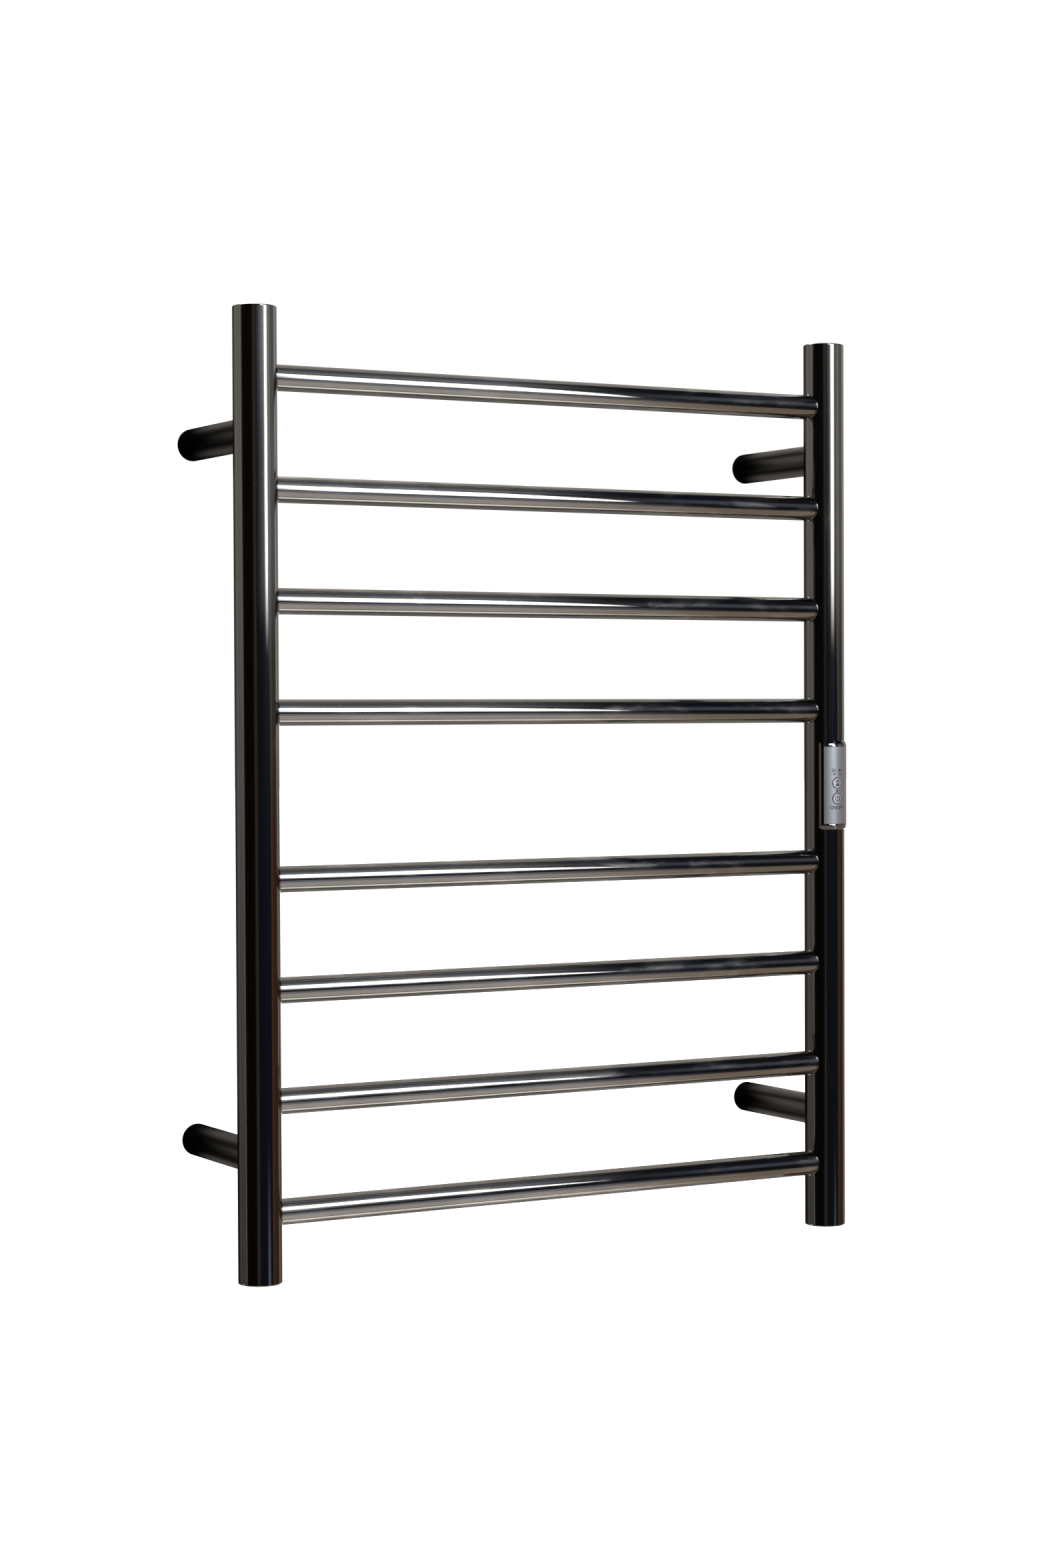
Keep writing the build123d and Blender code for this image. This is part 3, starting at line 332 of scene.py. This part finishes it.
def make_studio_light():
    """White behind the object for the camera, and a dim studio round it for what the metal reflects."""
    world = bpy.data.worlds.new("studio")
    world.use_nodes = True
    bpy.context.scene.world = world
    tree = world.node_tree
    tree.nodes.clear()
    x, y, z = parted(tree, node(tree, "ShaderNodeTexCoord").outputs["Generated"])
    front = times(tree, y, -1.0)
    around = degrees(tree, x, front)
    # uneven drapes: brighter and darker stripes that stand upright
    stripes = node(tree, "ShaderNodeTexNoise", {"W": times(tree, around, 0.09), "Scale": 1.0, "Detail": 3.0},
                   noise_dimensions="1D").outputs["Fac"]
    stripes = ramp(tree, stripes, 0.25, 0.75, 0.72, 1.28)

    colour = front_of_studio(tree, x, z, around)
    colour = side_of_studio(tree, z, around, stripes, colour)
    colour = floor_of_studio(tree, x, z, front, colour)
    colour = back_of_studio(tree, x, y, z, around, stripes, colour)

    path = node(tree, "ShaderNodeLightPath").outputs
    seen = node(tree, "ShaderNodeBackground", {"Color": WHITE, "Strength": BACKDROP_GLOW}).outputs[0]
    mirrored = node(tree, "ShaderNodeBackground", {"Color": colour, "Strength": 1.0}).outputs[0]
    ambient = node(tree, "ShaderNodeBackground", {"Color": opaque(1.0, 0.99, 0.97),
                                                  "Strength": AMBIENT_GLOW}).outputs[0]
    lit = node(tree, "ShaderNodeMixShader", {0: path["Is Glossy Ray"], 1: ambient, 2: mirrored}).outputs[0]
    shown = node(tree, "ShaderNodeMixShader", {0: path["Is Camera Ray"], 1: lit, 2: seen}).outputs[0]
    node(tree, "ShaderNodeOutputWorld", {"Surface": shown})


def make_stage_sheet(name, corners, faces, material):
    mesh = bpy.data.meshes.new(name)
    mesh.from_pydata(corners, [], faces)
    mesh.materials.append(material)
    sheet = place_in_scene(name, mesh)
    return sheet


def make_floor():
    pale = bpy.data.materials.new("pale_floor")
    pale.use_nodes = True
    surface = pale.node_tree.nodes["Principled BSDF"]
    surface.inputs["Base Color"].default_value = opaque(0.90, 0.90, 0.90)
    surface.inputs["Roughness"].default_value = 0.9
    surface.inputs["Specular IOR Level"].default_value = 0.0
    surface.inputs["Emission Color"].default_value = WHITE
    surface.inputs["Emission Strength"].default_value = FLOOR_GLOW
    corners = [(side * FLOOR_REACH, depth * FLOOR_REACH, FLOOR_HEIGHT)
               for side, depth in ((-1, -1), (1, -1), (1, 1), (-1, 1))]
    floor = make_stage_sheet("floor", corners, [(0, 1, 2, 3)], pale)
    floor.visible_glossy = False
    floor.visible_diffuse = False


def make_contact_shades():
    """Painted contact shadow: a black sheet at the foot of each bracket, which only its own polish mirrors.
    """
    dark = bpy.data.materials.new("bracket_contact_shadow")
    dark.use_nodes = True
    tree = dark.node_tree
    tree.nodes.clear()
    place = parted(tree, node(tree, "ShaderNodeTexCoord").outputs["Object"])
    across = calculate(tree, "SUBTRACT", size_of(tree, place["X"]), UPRIGHT_AXIS)
    up = calculate(tree, "SUBTRACT", size_of(tree, place["Z"]), BRACKET_HEIGHT)
    up = times(tree, up, CONTACT_FLATTEN)
    away = calculate(tree, "SQRT", plus(tree, times(tree, across, across), times(tree, up, up)))
    # painted shadow: black near the sleeve, fading to clear further out
    clear = node(tree, "ShaderNodeBsdfTransparent").outputs[0]
    black = node(tree, "ShaderNodeEmission", {"Color": BLACK}).outputs[0]
    faded = node(tree, "ShaderNodeMixShader", {
        0: ramp(tree, away, CONTACT_DARK, CONTACT_OUTER), 1: black, 2: clear}).outputs[0]
    node(tree, "ShaderNodeOutputMaterial", {"Surface": faded})
    corners, faces = [], []
    for side in (-1, 1):
        for level in (-1, 1):
            first = len(corners)
            for i in range(CONTACT_STEPS):
                turn = 2 * math.pi * i / CONTACT_STEPS
                for radius in (CONTACT_INNER, CONTACT_OUTER):
                    corners.append((side * UPRIGHT_AXIS + radius * math.cos(turn), CONTACT_BEHIND,
                                    level * BRACKET_HEIGHT + radius * math.sin(turn)))
            for i in range(CONTACT_STEPS):
                here, after = first + 2 * i, first + 2 * ((i + 1) % CONTACT_STEPS)
                faces.append((here, after, after + 1, here + 1))
    shades = make_stage_sheet("bracket_contact_shadow", corners, faces, dark)
    shades.visible_camera = False
    shades.visible_diffuse = False
    shades.visible_shadow = False


# Shader effects that several finishes share

FLOAT = "NodeSocketFloat"
VECTOR = "NodeSocketVector"
COLOUR = "NodeSocketColor"


def effect(name, inputs, outputs):
    """A node group with named inputs, each with its first value, and named outputs."""
    group = bpy.data.node_groups.new(name, "ShaderNodeTree")
    for label, (kind, value) in inputs.items():
        socket = group.interface.new_socket(label, in_out="INPUT", socket_type=kind)
        if value is not None:
            socket.default_value = value
    for label, kind in outputs.items():
        group.interface.new_socket(label, in_out="OUTPUT", socket_type=kind)
    return group, group.nodes.new("NodeGroupInput").outputs, group.nodes.new("NodeGroupOutput").inputs


def cloud(tree, place, scale, detail, roughness, distortion=0.0):
    """Soft noise round the middle value 0.5."""
    return node(tree, "ShaderNodeTexNoise", {
        "Vector": place, "Scale": scale, "Detail": detail, "Roughness": roughness,
        "Distortion": distortion}).outputs["Fac"]


def make_smudges():
    """Faint wiped patches, drawn out along a tube."""
    group, given, result = effect("smudges", {
        "Place": (VECTOR, None), "Size": (FLOAT, 30.0), "Cover": (FLOAT, 0.5)}, {"Mask": FLOAT})
    patches = cloud(group, given["Place"], given["Size"], 5.0, 0.62, 0.4)
    low = calculate(group, "SUBTRACT", 0.72, times(group, given["Cover"], 0.3))
    mask = ramp(group, patches, low, plus(group, low, 0.22))
    group.links.new(mask, result["Mask"])
    return group


def make_dust():
    """Sparse fine specks."""
    group, given, result = effect("dust_specks", {
        "Place": (VECTOR, None), "Spacing": (FLOAT, 260.0), "Speck": (FLOAT, 0.05),
        "Share": (FLOAT, 0.03)}, {"Mask": FLOAT})
    cells = node(group, "ShaderNodeTexVoronoi", {"Vector": given["Place"], "Scale": given["Spacing"]}).outputs
    near = calculate(group, "LESS_THAN", cells["Distance"], given["Speck"])
    pick = node(group, "ShaderNodeSeparateColor", {0: cells["Color"]}).outputs[0]
    few = calculate(group, "LESS_THAN", pick, given["Share"])
    group.links.new(times(group, near, few), result["Mask"])
    return group


def make_lines():
    """Fine parallel marks left by polishing, brushing or turning."""
    group, given, result = effect("tool_lines", {
        "Place": (VECTOR, None), "Stretch": (VECTOR, (1.0, 1.0, 1.0)),
        "Scale": (FLOAT, 600.0)}, {"Height": FLOAT})
    drawn = joined(group, "MULTIPLY", given["Place"], given["Stretch"])
    group.links.new(cloud(group, drawn, given["Scale"], 3.0, 0.6), result["Height"])
    return group


def make_mottle():
    """A small change of colour and of polish over a surface."""
    group, given, result = effect("mottle", {
        "Place": (VECTOR, None), "Size": (FLOAT, 80.0), "Colour": (COLOUR, (0.5, 0.5, 0.5, 1.0)),
        "Change": (FLOAT, 0.1), "Roughness": (FLOAT, 0.4), "Polish change": (FLOAT, 0.06)},
        {"Colour": COLOUR, "Roughness": FLOAT})
    swing = calculate(group, "SUBTRACT", cloud(group, given["Place"], given["Size"], 4.0, 0.55), 0.5)
    gain = plus(group, 1.0, times(group, swing, given["Change"]))
    rough = plus(group, given["Roughness"], times(group, swing, given["Polish change"]))
    group.links.new(scaled(group, given["Colour"], gain), result["Colour"])
    group.links.new(rough, result["Roughness"])
    return group


SMUDGES = make_smudges()
DUST = make_dust()
LINES = make_lines()
MOTTLE = make_mottle()


def use(tree, group, values):
    return node(tree, "ShaderNodeGroup", values, node_tree=group).outputs


# Finishes

def finish(name, **constants):
    """A material with one Principled surface. Names of its inputs have _ for a space."""
    material = bpy.data.materials.new(name)
    material.use_nodes = True
    tree = material.node_tree
    surface = tree.nodes["Principled BSDF"]
    for label, value in constants.items():
        surface.inputs[label.replace("_", " ")].default_value = value
    place = node(tree, "ShaderNodeTexCoord").outputs["Object"]
    return material, tree, surface.inputs, place


def bump(tree, surface, height, strength, distance):
    made = node(tree, "ShaderNodeBump", {"Strength": strength, "Distance": distance, "Height": height})
    tree.links.new(made.outputs[0], surface["Normal"])


def mottled(tree, place, size, colour, change, roughness, polish_change):
    return use(tree, MOTTLE, {"Place": place, "Size": size, "Colour": colour, "Change": change,
                              "Roughness": roughness, "Polish change": polish_change})


DARK_CHROME = opaque(0.225, 0.219, 0.214)
DARK_SLEEVE = opaque(0.130, 0.124, 0.118)
DARK_COVER = opaque(0.175, 0.178, 0.180)
DUST_GREY = opaque(0.50, 0.49, 0.48)
GREASE = {"Coat_Roughness": 0.30, "Coat_IOR": 1.7}      # a thin coat, thickest in the smudges
GREASE_LEAST = 0.08
USUAL_COVER = 0.5               # how much of a tube is smudged, from 0 to 1
TUBE_DRAW = 0.25                # the width of a smudge, as a share of its length along a tube
END_TANGENT = (0.002, 0.0014, 0.0006)


def polish_nodes(tree, surface, place, stretch, tone, roughness, cover):
    """Dark mirror polish with faint smudges, a greasy haze in them and a few specks of dust."""
    drawn = joined(tree, "MULTIPLY", place, stretch)
    wiped = use(tree, SMUDGES, {"Place": drawn, "Size": 60.0, "Cover": cover})["Mask"]
    specks = use(tree, DUST, {"Place": place})["Mask"]
    toned = mottled(tree, drawn, 40.0, tone, 0.10, roughness, 0.02)
    tree.links.new(mix(tree, specks, toned["Colour"], DUST_GREY), surface["Base Color"])
    rough = plus(tree, toned["Roughness"], times(tree, wiped, 0.02))
    rough = plus(tree, rough, times(tree, specks, 0.3))
    tree.links.new(rough, surface["Roughness"])
    tree.links.new(ramp(tree, wiped, 0.0, 1.0, GREASE_LEAST, 1.0), surface["Coat Weight"])


def polished_tube(name, along, tone, roughness, cover=USUAL_COVER):
    """Polish drawn along a tube, which spreads a light only round it. along is the tube's direction."""
    material, tree, surface, place = finish(name, Metallic=1.0, Anisotropic=1.0, **GREASE)
    stretch = tuple(TUBE_DRAW if part else 1.0 for part in along)
    polish_nodes(tree, surface, place, stretch, tone, roughness, cover)
    facing = node(tree, "ShaderNodeNewGeometry").outputs["Normal"]
    round_tube = joined(tree, "CROSS_PRODUCT", along, facing)
    # the small step keeps a direction on a flat end, which faces along the tube
    tree.links.new(joined(tree, "ADD", round_tube, END_TANGENT), surface["Tangent"])
    return material


def polished_end(name):
    """The same polish on a cap or a bead, even in all directions."""
    material, tree, surface, place = finish(name, Metallic=1.0, **GREASE)
    polish_nodes(tree, surface, place, (1.0, 1.0, 1.0), DARK_CHROME, 0.09, USUAL_COVER)
    return material


def plain_finish(name, colour, change, roughness, polish_change, size, grain, grain_size, **constants):
    """A finish with mottled colour and a fine grain."""
    material, tree, surface, place = finish(name, **constants)
    toned = mottled(tree, place, size, opaque(*colour), change, roughness, polish_change)
    tree.links.new(toned["Colour"], surface["Base Color"])
    tree.links.new(toned["Roughness"], surface["Roughness"])
    marks = use(tree, LINES, {"Place": place, "Scale": grain_size})["Height"]
    bump(tree, surface, marks, grain, 0.05 * MM)
    return material


def gloss_cover():
    """Dark plated plastic of the control unit's cover."""
    material, tree, surface, place = finish("cover_gloss", Metallic=1.0)
    wiped = use(tree, SMUDGES, {"Place": place, "Size": 160.0, "Cover": 0.4})["Mask"]
    toned = mottled(tree, place, 220.0, DARK_COVER, 0.12, 0.06, 0.03)
    tree.links.new(toned["Colour"], surface["Base Color"])
    tree.links.new(plus(tree, toned["Roughness"], times(tree, wiped, 0.06)), surface["Roughness"])
    return material


def satin_silver(name, colour, roughness):
    """Silver satin paint, with the fine sparkle of its flakes."""
    material, tree, surface, place = finish(name, Metallic=0.85)
    toned = mottled(tree, place, 300.0, opaque(*colour), 0.08, roughness, 0.05)
    flakes = use(tree, LINES, {"Place": place, "Scale": 9000.0})["Height"]
    sparkle = scaled(tree, toned["Colour"], ramp(tree, flakes, 0.35, 0.7, 0.94, 1.06))
    tree.links.new(sparkle, surface["Base Color"])
    tree.links.new(toned["Roughness"], surface["Roughness"])
    bump(tree, surface, flakes, 0.08, 0.02 * MM)
    return material


UPRIGHT_POLISH = polished_tube("upright_polish", (0, 0, 1), DARK_CHROME, 0.075)
BAR_POLISH = polished_tube("bar_polish", (1, 0, 0), DARK_CHROME, 0.065, 0.85)
SLEEVE_POLISH = polished_tube("sleeve_polish", (0, 1, 0), DARK_SLEEVE, 0.17)
END_POLISH = polished_end("end_polish")
# this ink prints the legends and also paints the shade ring at each button's edge
INK = plain_finish("legend_ink_and_gap_shade", (0.022, 0.023, 0.026), 0.3, 0.45, 0.1, 900.0, 0.1, 6000.0)
METAL = {"Metallic": 1.0}
CLEAR = {"IOR": 1.5}

# The plain finishes: slot, name, colour, its change, roughness, its change, size of the mottle, strength and
# fineness of the grain, and what else the surface has
PLAIN_FINISHES = (
    ("wall_boss_alloy", "boss_turned", (0.60, 0.60, 0.61), 0.14, 0.36, 0.10, 90.0, 0.25, 2600.0, METAL),
    ("fixing_steel", "zinc_plate", (0.56, 0.57, 0.58), 0.20, 0.30, 0.12, 260.0, 0.2, 1800.0, METAL),
    ("earth_brass", "brass_tag", (0.72, 0.52, 0.24), 0.16, 0.30, 0.12, 200.0, 0.15, 1500.0, METAL),
    ("light_pipe", "smoked_light_pipe", (0.03, 0.031, 0.035), 0.2, 0.12, 0.05, 900.0, 0.05, 3000.0, CLEAR),
    ("lamp", "clear_lamp", (0.80, 0.80, 0.74), 0.1, 0.15, 0.05, 700.0, 0.05, 3000.0, CLEAR),
    ("board", "board_mask", (0.03, 0.16, 0.07), 0.5, 0.35, 0.10, 500.0, 0.2, 3000.0, {}),
    ("component", "component_black", (0.03, 0.03, 0.033), 0.3, 0.45, 0.15, 300.0, 0.3, 4000.0, {}),
    ("inner_plastic", "inner_black", (0.05, 0.05, 0.053), 0.25, 0.5, 0.12, 220.0, 0.3, 3500.0, {}),
    ("terminal_plastic", "terminal_cream", (0.74, 0.70, 0.60), 0.12, 0.45, 0.1, 180.0, 0.25, 2500.0, {}),
    ("seal_rubber", "seal_black", (0.025, 0.025, 0.025), 0.3, 0.75, 0.1, 250.0, 0.4, 2500.0, {}),
    ("heating_cable", "heater_silicone", (0.30, 0.05, 0.04), 0.2, 0.55, 0.1, 150.0, 0.25, 1800.0, {}),
    ("supply_cable", "supply_pvc", (0.55, 0.55, 0.54), 0.12, 0.5, 0.1, 150.0, 0.25, 1800.0, {}),
)
FINISH_OF_SLOT = {
    "black_chrome": UPRIGHT_POLISH,
    "satin_black_chrome": SLEEVE_POLISH,
    "cover_plastic": gloss_cover(),
    "panel_silver": satin_silver("panel_satin", (0.40, 0.425, 0.465), 0.40),
    "button_silver": satin_silver("button_satin", (0.56, 0.58, 0.61), 0.38),
}
for slot, *values, more in PLAIN_FINISHES:
    FINISH_OF_SLOT[slot] = plain_finish(*values, **more)


def dress_cad_nodes():
    for name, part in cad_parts.items():
        finish_of_node = FINISH_OF_SLOT[part.data.materials[0].name]
        if name.startswith("cross_bar"):
            finish_of_node = BAR_POLISH
        elif name.endswith("_cap"):
            finish_of_node = END_POLISH
        part.material_slots[0].material = finish_of_node


# Polished weld beads round the ends of the cross bars

WELD_INPUTS = {
    "Upright axis": (FLOAT, UPRIGHT_AXIS),
    "Rail depth": (FLOAT, RAIL_DEPTH),
    "First bar height": (FLOAT, FIRST_BAR_HEIGHT),
    "Bar pitch": (FLOAT, BAR_PITCH),
    "Bars per group": ("NodeSocketInt", BARS_PER_GROUP),
    "Bar radius": (FLOAT, BAR_RADIUS),
    "Upright radius": (FLOAT, UPRIGHT_RADIUS),
    "Bead radius": (FLOAT, WELD_RADIUS),
    "Finish": ("NodeSocketMaterial", END_POLISH),
}


def weld_tree():
    tree = bpy.data.node_groups.new("weld_beads", "GeometryNodeTree")
    tree.is_modifier = True
    for label, (kind, _) in WELD_INPUTS.items():
        tree.interface.new_socket(label, in_out="INPUT", socket_type=kind)
    tree.interface.new_socket("Geometry", in_out="OUTPUT", socket_type="NodeSocketGeometry")
    given = tree.nodes.new("NodeGroupInput").outputs

    def step_of(kind, values, **settings):
        return node(tree, "GeometryNode" + kind, values, **settings).outputs[0]

    # the line where a bar meets an upright: a circle round the bar, pushed out to the upright's surface
    ring = step_of("CurvePrimitiveCircle", {"Resolution": WELD_STEPS, "Radius": given["Bar radius"]})
    flat = parted(tree, step_of("InputPosition", {}))
    reach = times(tree, given["Upright radius"], given["Upright radius"])
    reach = calculate(tree, "SUBTRACT", reach, times(tree, flat[0], flat[0]))
    reach = calculate(tree, "SQRT", reach)
    saddle = node(tree, "ShaderNodeCombineXYZ", {0: reach, 1: flat[0], 2: flat[1]}).outputs[0]
    seam = step_of("SetPosition", {"Geometry": ring, "Position": saddle})
    section = step_of("CurvePrimitiveCircle", {"Resolution": WELD_SIDES, "Radius": given["Bead radius"]})
    bead = step_of("CurveToMesh", {"Curve": seam, "Profile Curve": section})

    # the upper bars of the left upright, then the same turned over and turned round
    left = times(tree, given["Upright axis"], -1.0)
    first = node(tree, "ShaderNodeCombineXYZ", {0: left, 2: given["First bar height"]}).outputs[0]
    pitch = node(tree, "ShaderNodeCombineXYZ", {2: given["Bar pitch"]}).outputs[0]
    places = step_of("MeshLine", {"Count": given["Bars per group"], "Start Location": first, "Offset": pitch},
                     mode="OFFSET")
    beads = step_of("InstanceOnPoints", {"Points": places, "Instance": bead})
    for turn in ((math.pi, 0.0, 0.0), (0.0, 0.0, math.pi)):
        turned = step_of("Transform", {"Geometry": beads, "Rotation": turn})
        both = node(tree, "GeometryNodeJoinGeometry")
        tree.links.new(beads, both.inputs[0])
        tree.links.new(turned, both.inputs[0])
        beads = both.outputs[0]
    away = node(tree, "ShaderNodeCombineXYZ", {1: given["Rail depth"]}).outputs[0]
    beads = step_of("Transform", {"Geometry": beads, "Translation": away})
    beads = step_of("RealizeInstances", {"Geometry": beads})
    beads = step_of("SetShadeSmooth", {"Geometry": beads})
    beads = step_of("SetMaterial", {"Geometry": beads, "Material": given["Finish"]})
    node(tree, "NodeGroupOutput", {0: beads})
    return tree


def grown(name, tree, inputs):
    """Runs a Geometry Nodes tree with the given sizes, and returns the result as a plain mesh object."""
    maker = place_in_scene(name + "_maker", bpy.data.meshes.new(name + "_maker"))
    modifier = maker.modifiers.new("grow", "NODES")
    modifier.node_group = tree
    for item in tree.interface.items_tree:
        if item.in_out == "INPUT":
            modifier[item.identifier] = inputs[item.name][1]
    evaluated = maker.evaluated_get(bpy.context.evaluated_depsgraph_get())
    mesh = bpy.data.meshes.new_from_object(evaluated)
    mesh.name = name
    bpy.data.objects.remove(maker)
    return place_in_scene(name, mesh)


def make_weld_beads():
    beads = grown("weld_beads", weld_tree(), WELD_INPUTS)
    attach(beads, "rail")


def piece_from(name, shape, material):
    """Makes an object of a finished bmesh, in one material."""
    bmesh.ops.recalc_face_normals(shape, faces=shape.faces)
    mesh = bpy.data.meshes.new(name)
    shape.to_mesh(mesh)
    shape.free()
    mesh.materials.append(material)
    return place_in_scene(name, mesh)


# The rounded lip of the cover under the silver face

def lip_outline():
    """Distances from the upright's axis, with heights: a strip that leans back a little, then rolls under."""
    outline = [(LIP_RADIUS - LIP_DEPTH, LIP_TOP)]
    radius, height = LIP_RADIUS, LIP_TOP
    lean = [math.radians(LEAN_START + (LEAN_END - LEAN_START) * i / LEAN_STEPS)
            for i in range(LEAN_STEPS + 1)]
    roll = [math.radians(LEAN_END + (ROLL_END - LEAN_END) * i / ROLL_STEPS)
            for i in range(1, ROLL_STEPS + 1)]
    for before, after in zip([lean[0]] + lean + roll[:-1], lean + roll):
        size = LIP_CURVE if after >= lean[-1] else LIP_ROLL
        radius += size * (math.cos(after) - math.cos(before))
        height += size * (math.sin(after) - math.sin(before))
        outline.append((radius, height))
    return outline + [(LIP_RADIUS - LIP_DEPTH, height)]


def make_lower_lip():
    """The lip's outline, turned about the right upright."""
    outline = lip_outline()
    lip = bmesh.new()
    rows = []
    for i in range(LIP_STEPS + 1):
        turn = LIP_HALF_ANGLE * (2.0 * i / LIP_STEPS - 1.0)
        rows.append([lip.verts.new((UPRIGHT_AXIS + radius * math.sin(turn),
                                    RAIL_DEPTH - radius * math.cos(turn), height))
                     for radius, height in outline])
    count = len(outline)
    for here, there in zip(rows, rows[1:]):
        for i in range(count):
            after = (i + 1) % count
            face = lip.faces.new((here[i], here[after], there[after], there[i]))
            face.smooth = 0 < i < count - 2
    lip.faces.new(rows[0])
    lip.faces.new(rows[-1])
    piece = piece_from("lower_lip", lip, FINISH_OF_SLOT["cover_plastic"])
    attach(piece, "rail")


# Printed legends, and a painted shade ring at each button's edge: flat shapes in millimetres, across and up,
# laid on a curved face

def stroke(points, width, closed=False):
    """Outlines of a line of a given width, one four-sided piece for each step."""
    count = len(points)
    sides = []
    for i, (u, v) in enumerate(points):
        before = points[i - 1] if closed or i else points[i]
        after = points[(i + 1) % count] if closed or i + 1 < count else points[i]
        du, dv = after[0] - before[0], after[1] - before[1]
        size = math.hypot(du, dv)
        across = (-dv / size * width / 2, du / size * width / 2)
        sides.append(((u + across[0], v + across[1]), (u - across[0], v - across[1])))
    pieces = []
    for i in range(count if closed else count - 1):
        here, after = sides[i], sides[(i + 1) % count]
        pieces.append((here[0], here[1], after[1], after[0]))
    return pieces


def arc(radius, start, end, steps):
    turns = [math.radians(start + (end - start) * i / steps) for i in range(steps + 1)]
    return [(radius * math.cos(turn), radius * math.sin(turn)) for turn in turns]


def hourglass():
    """Two bulbs between two plates, with sand in the lower one."""
    half, neck, bulb = 1.9, 0.28, 1.15
    right = [(bulb, half), (bulb, 1.25), (0.85, 0.7), (neck, 0.0), (0.85, -0.7), (bulb, -1.25), (bulb, -half)]
    left = [(-u, v) for u, v in right]
    shapes = stroke(right, GLASS_WIDTH) + stroke(left, GLASS_WIDTH)
    for level in (half, -half):
        shapes += stroke([(-PLATE_REACH, level), (PLATE_REACH, level)], PLATE_WIDTH)
    sand = [(-0.95, -1.6), (0.95, -1.6), (0.95, -1.25), (0.55, -0.75), (-0.55, -0.75), (-0.95, -1.25)]
    return shapes + [sand]


def power_sign():
    """A ring that is open at the top, and an upright stem in the gap."""
    ring = stroke(arc(POWER_RADIUS, POWER_GAP_END, POWER_GAP_START, POWER_STEPS), POWER_WIDTH)
    return ring + stroke([(0.0, level) for level in POWER_STEM], POWER_WIDTH)


def letters(text, height, across=0.0, narrow=1.0):
    """The faces of a line of bold text, centred. narrow draws it in sideways."""
    curve = bpy.data.curves.new(text, "FONT")
    curve.body = text
    curve.size = height / CAPITAL_SHARE
    curve.align_x = "CENTER"
    curve.offset = BOLD_SHARE * curve.size
    curve.resolution_u = 4
    writer = place_in_scene(text, curve)
    flat = bpy.data.meshes.new_from_object(writer.evaluated_get(bpy.context.evaluated_depsgraph_get()))
    places = [(corner.co.x * narrow + across, corner.co.y - height / 2) for corner in flat.vertices]
    shapes = [[places[i] for i in face.vertices] for face in flat.polygons]
    bpy.data.objects.remove(writer)
    bpy.data.curves.remove(curve)
    bpy.data.meshes.remove(flat)
    return shapes


def lay_ink(name, shapes, middle_height, face_radius, body):
    """Lays flat shapes as a thin skin of ink on a face that is curved about the right upright."""
    skin = bmesh.new()
    for shape in shapes:
        skin.faces.new([skin.verts.new((u * MM, 0.0, v * MM)) for u, v in shape])
    bmesh.ops.remove_doubles(skin, verts=skin.verts, dist=INK_JOIN)
    wide = max(abs(corner.co.x) for corner in skin.verts)
    cut = -math.floor(wide / INK_STRIP) * INK_STRIP
    while cut < wide:
        everything = skin.verts[:] + skin.edges[:] + skin.faces[:]
        bmesh.ops.bisect_plane(skin, geom=everything, plane_co=(cut, 0.0, 0.0), plane_no=(1.0, 0.0, 0.0))
        cut += INK_STRIP
    for face in skin.faces:
        if face.normal.y > 0:
            face.normal_flip()
    raised = bmesh.ops.extrude_face_region(skin, geom=skin.faces[:])["geom"]
    top = {part for part in raised if isinstance(part, bmesh.types.BMVert)}
    for corner in skin.verts:
        radius = face_radius + (INK_RAISE if corner in top else -INK_SINK)
        across, up = corner.co.x, corner.co.z
        depth = math.sqrt(radius ** 2 - across ** 2)
        corner.co = (UPRIGHT_AXIS + across, RAIL_DEPTH - depth, middle_height + up)
    ink = piece_from(name, skin, INK)
    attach(ink, body)


def make_legends():
    hours = letters("2h", HOURS_SIZE, TWO_HOURS_ACROSS) + letters("4h", HOURS_SIZE, FOUR_HOURS_ACROSS)
    lay_ink("hour_legends", hours, HOURS_HEIGHT, FACE_RADIUS, "rail")
    switch = letters("ON/OFF", SWITCH_SIZE, SWITCH_ACROSS, SWITCH_NARROW)
    lay_ink("switch_legend", switch, SWITCH_HEIGHT, FACE_RADIUS, "rail")
    # painted shade: a dark ring of ink at each button's edge, standing in for the shade in the gap round it
    gap_shade_ring = stroke(arc(RIM_RADIUS, 0.0, 360.0, RIM_STEPS)[:-1], RIM_WIDTH, True)
    lay_ink("timer_sign", hourglass() + gap_shade_ring, TIMER_HEIGHT, BUTTON_RADIUS, "timer_button")
    lay_ink("power_sign", power_sign() + gap_shade_ring, POWER_HEIGHT, BUTTON_RADIUS, "power_button")


def make_lights():
    straight_back = Vector((0.0, 1.0, 0.0))
    key_softbox = make_softbox("key_softbox", SOFTBOX_PLACE, SOFTBOX_SIZE, SOFTBOX_POWER,
                               SOFTBOX_PLACE + straight_back)
    soften_edges(key_softbox, SOFTBOX_FADE, SOFTBOX_SLANT)
    fill_softbox = make_softbox("fill_softbox", FILL_SOFTBOX_PLACE, FILL_SOFTBOX_SIZE, FILL_SOFTBOX_POWER,
                                Vector((UPRIGHT_AXIS, RAIL_DEPTH, 0.0)))
    soften_edges(fill_softbox, FILL_SOFTBOX_FADE, 0.0)
    make_softbox("back_softbox", BACK_SOFTBOX_PLACE, BACK_SOFTBOX_SIZE, BACK_SOFTBOX_POWER,
                 Vector((0.0, 0.0, 0.0)))


bpy.context.scene.view_settings.view_transform = "Standard"
make_camera()
make_studio_light()
make_lights()
make_floor()
make_contact_shades()
dress_cad_nodes()
make_weld_beads()
make_lower_lip()
make_legends()
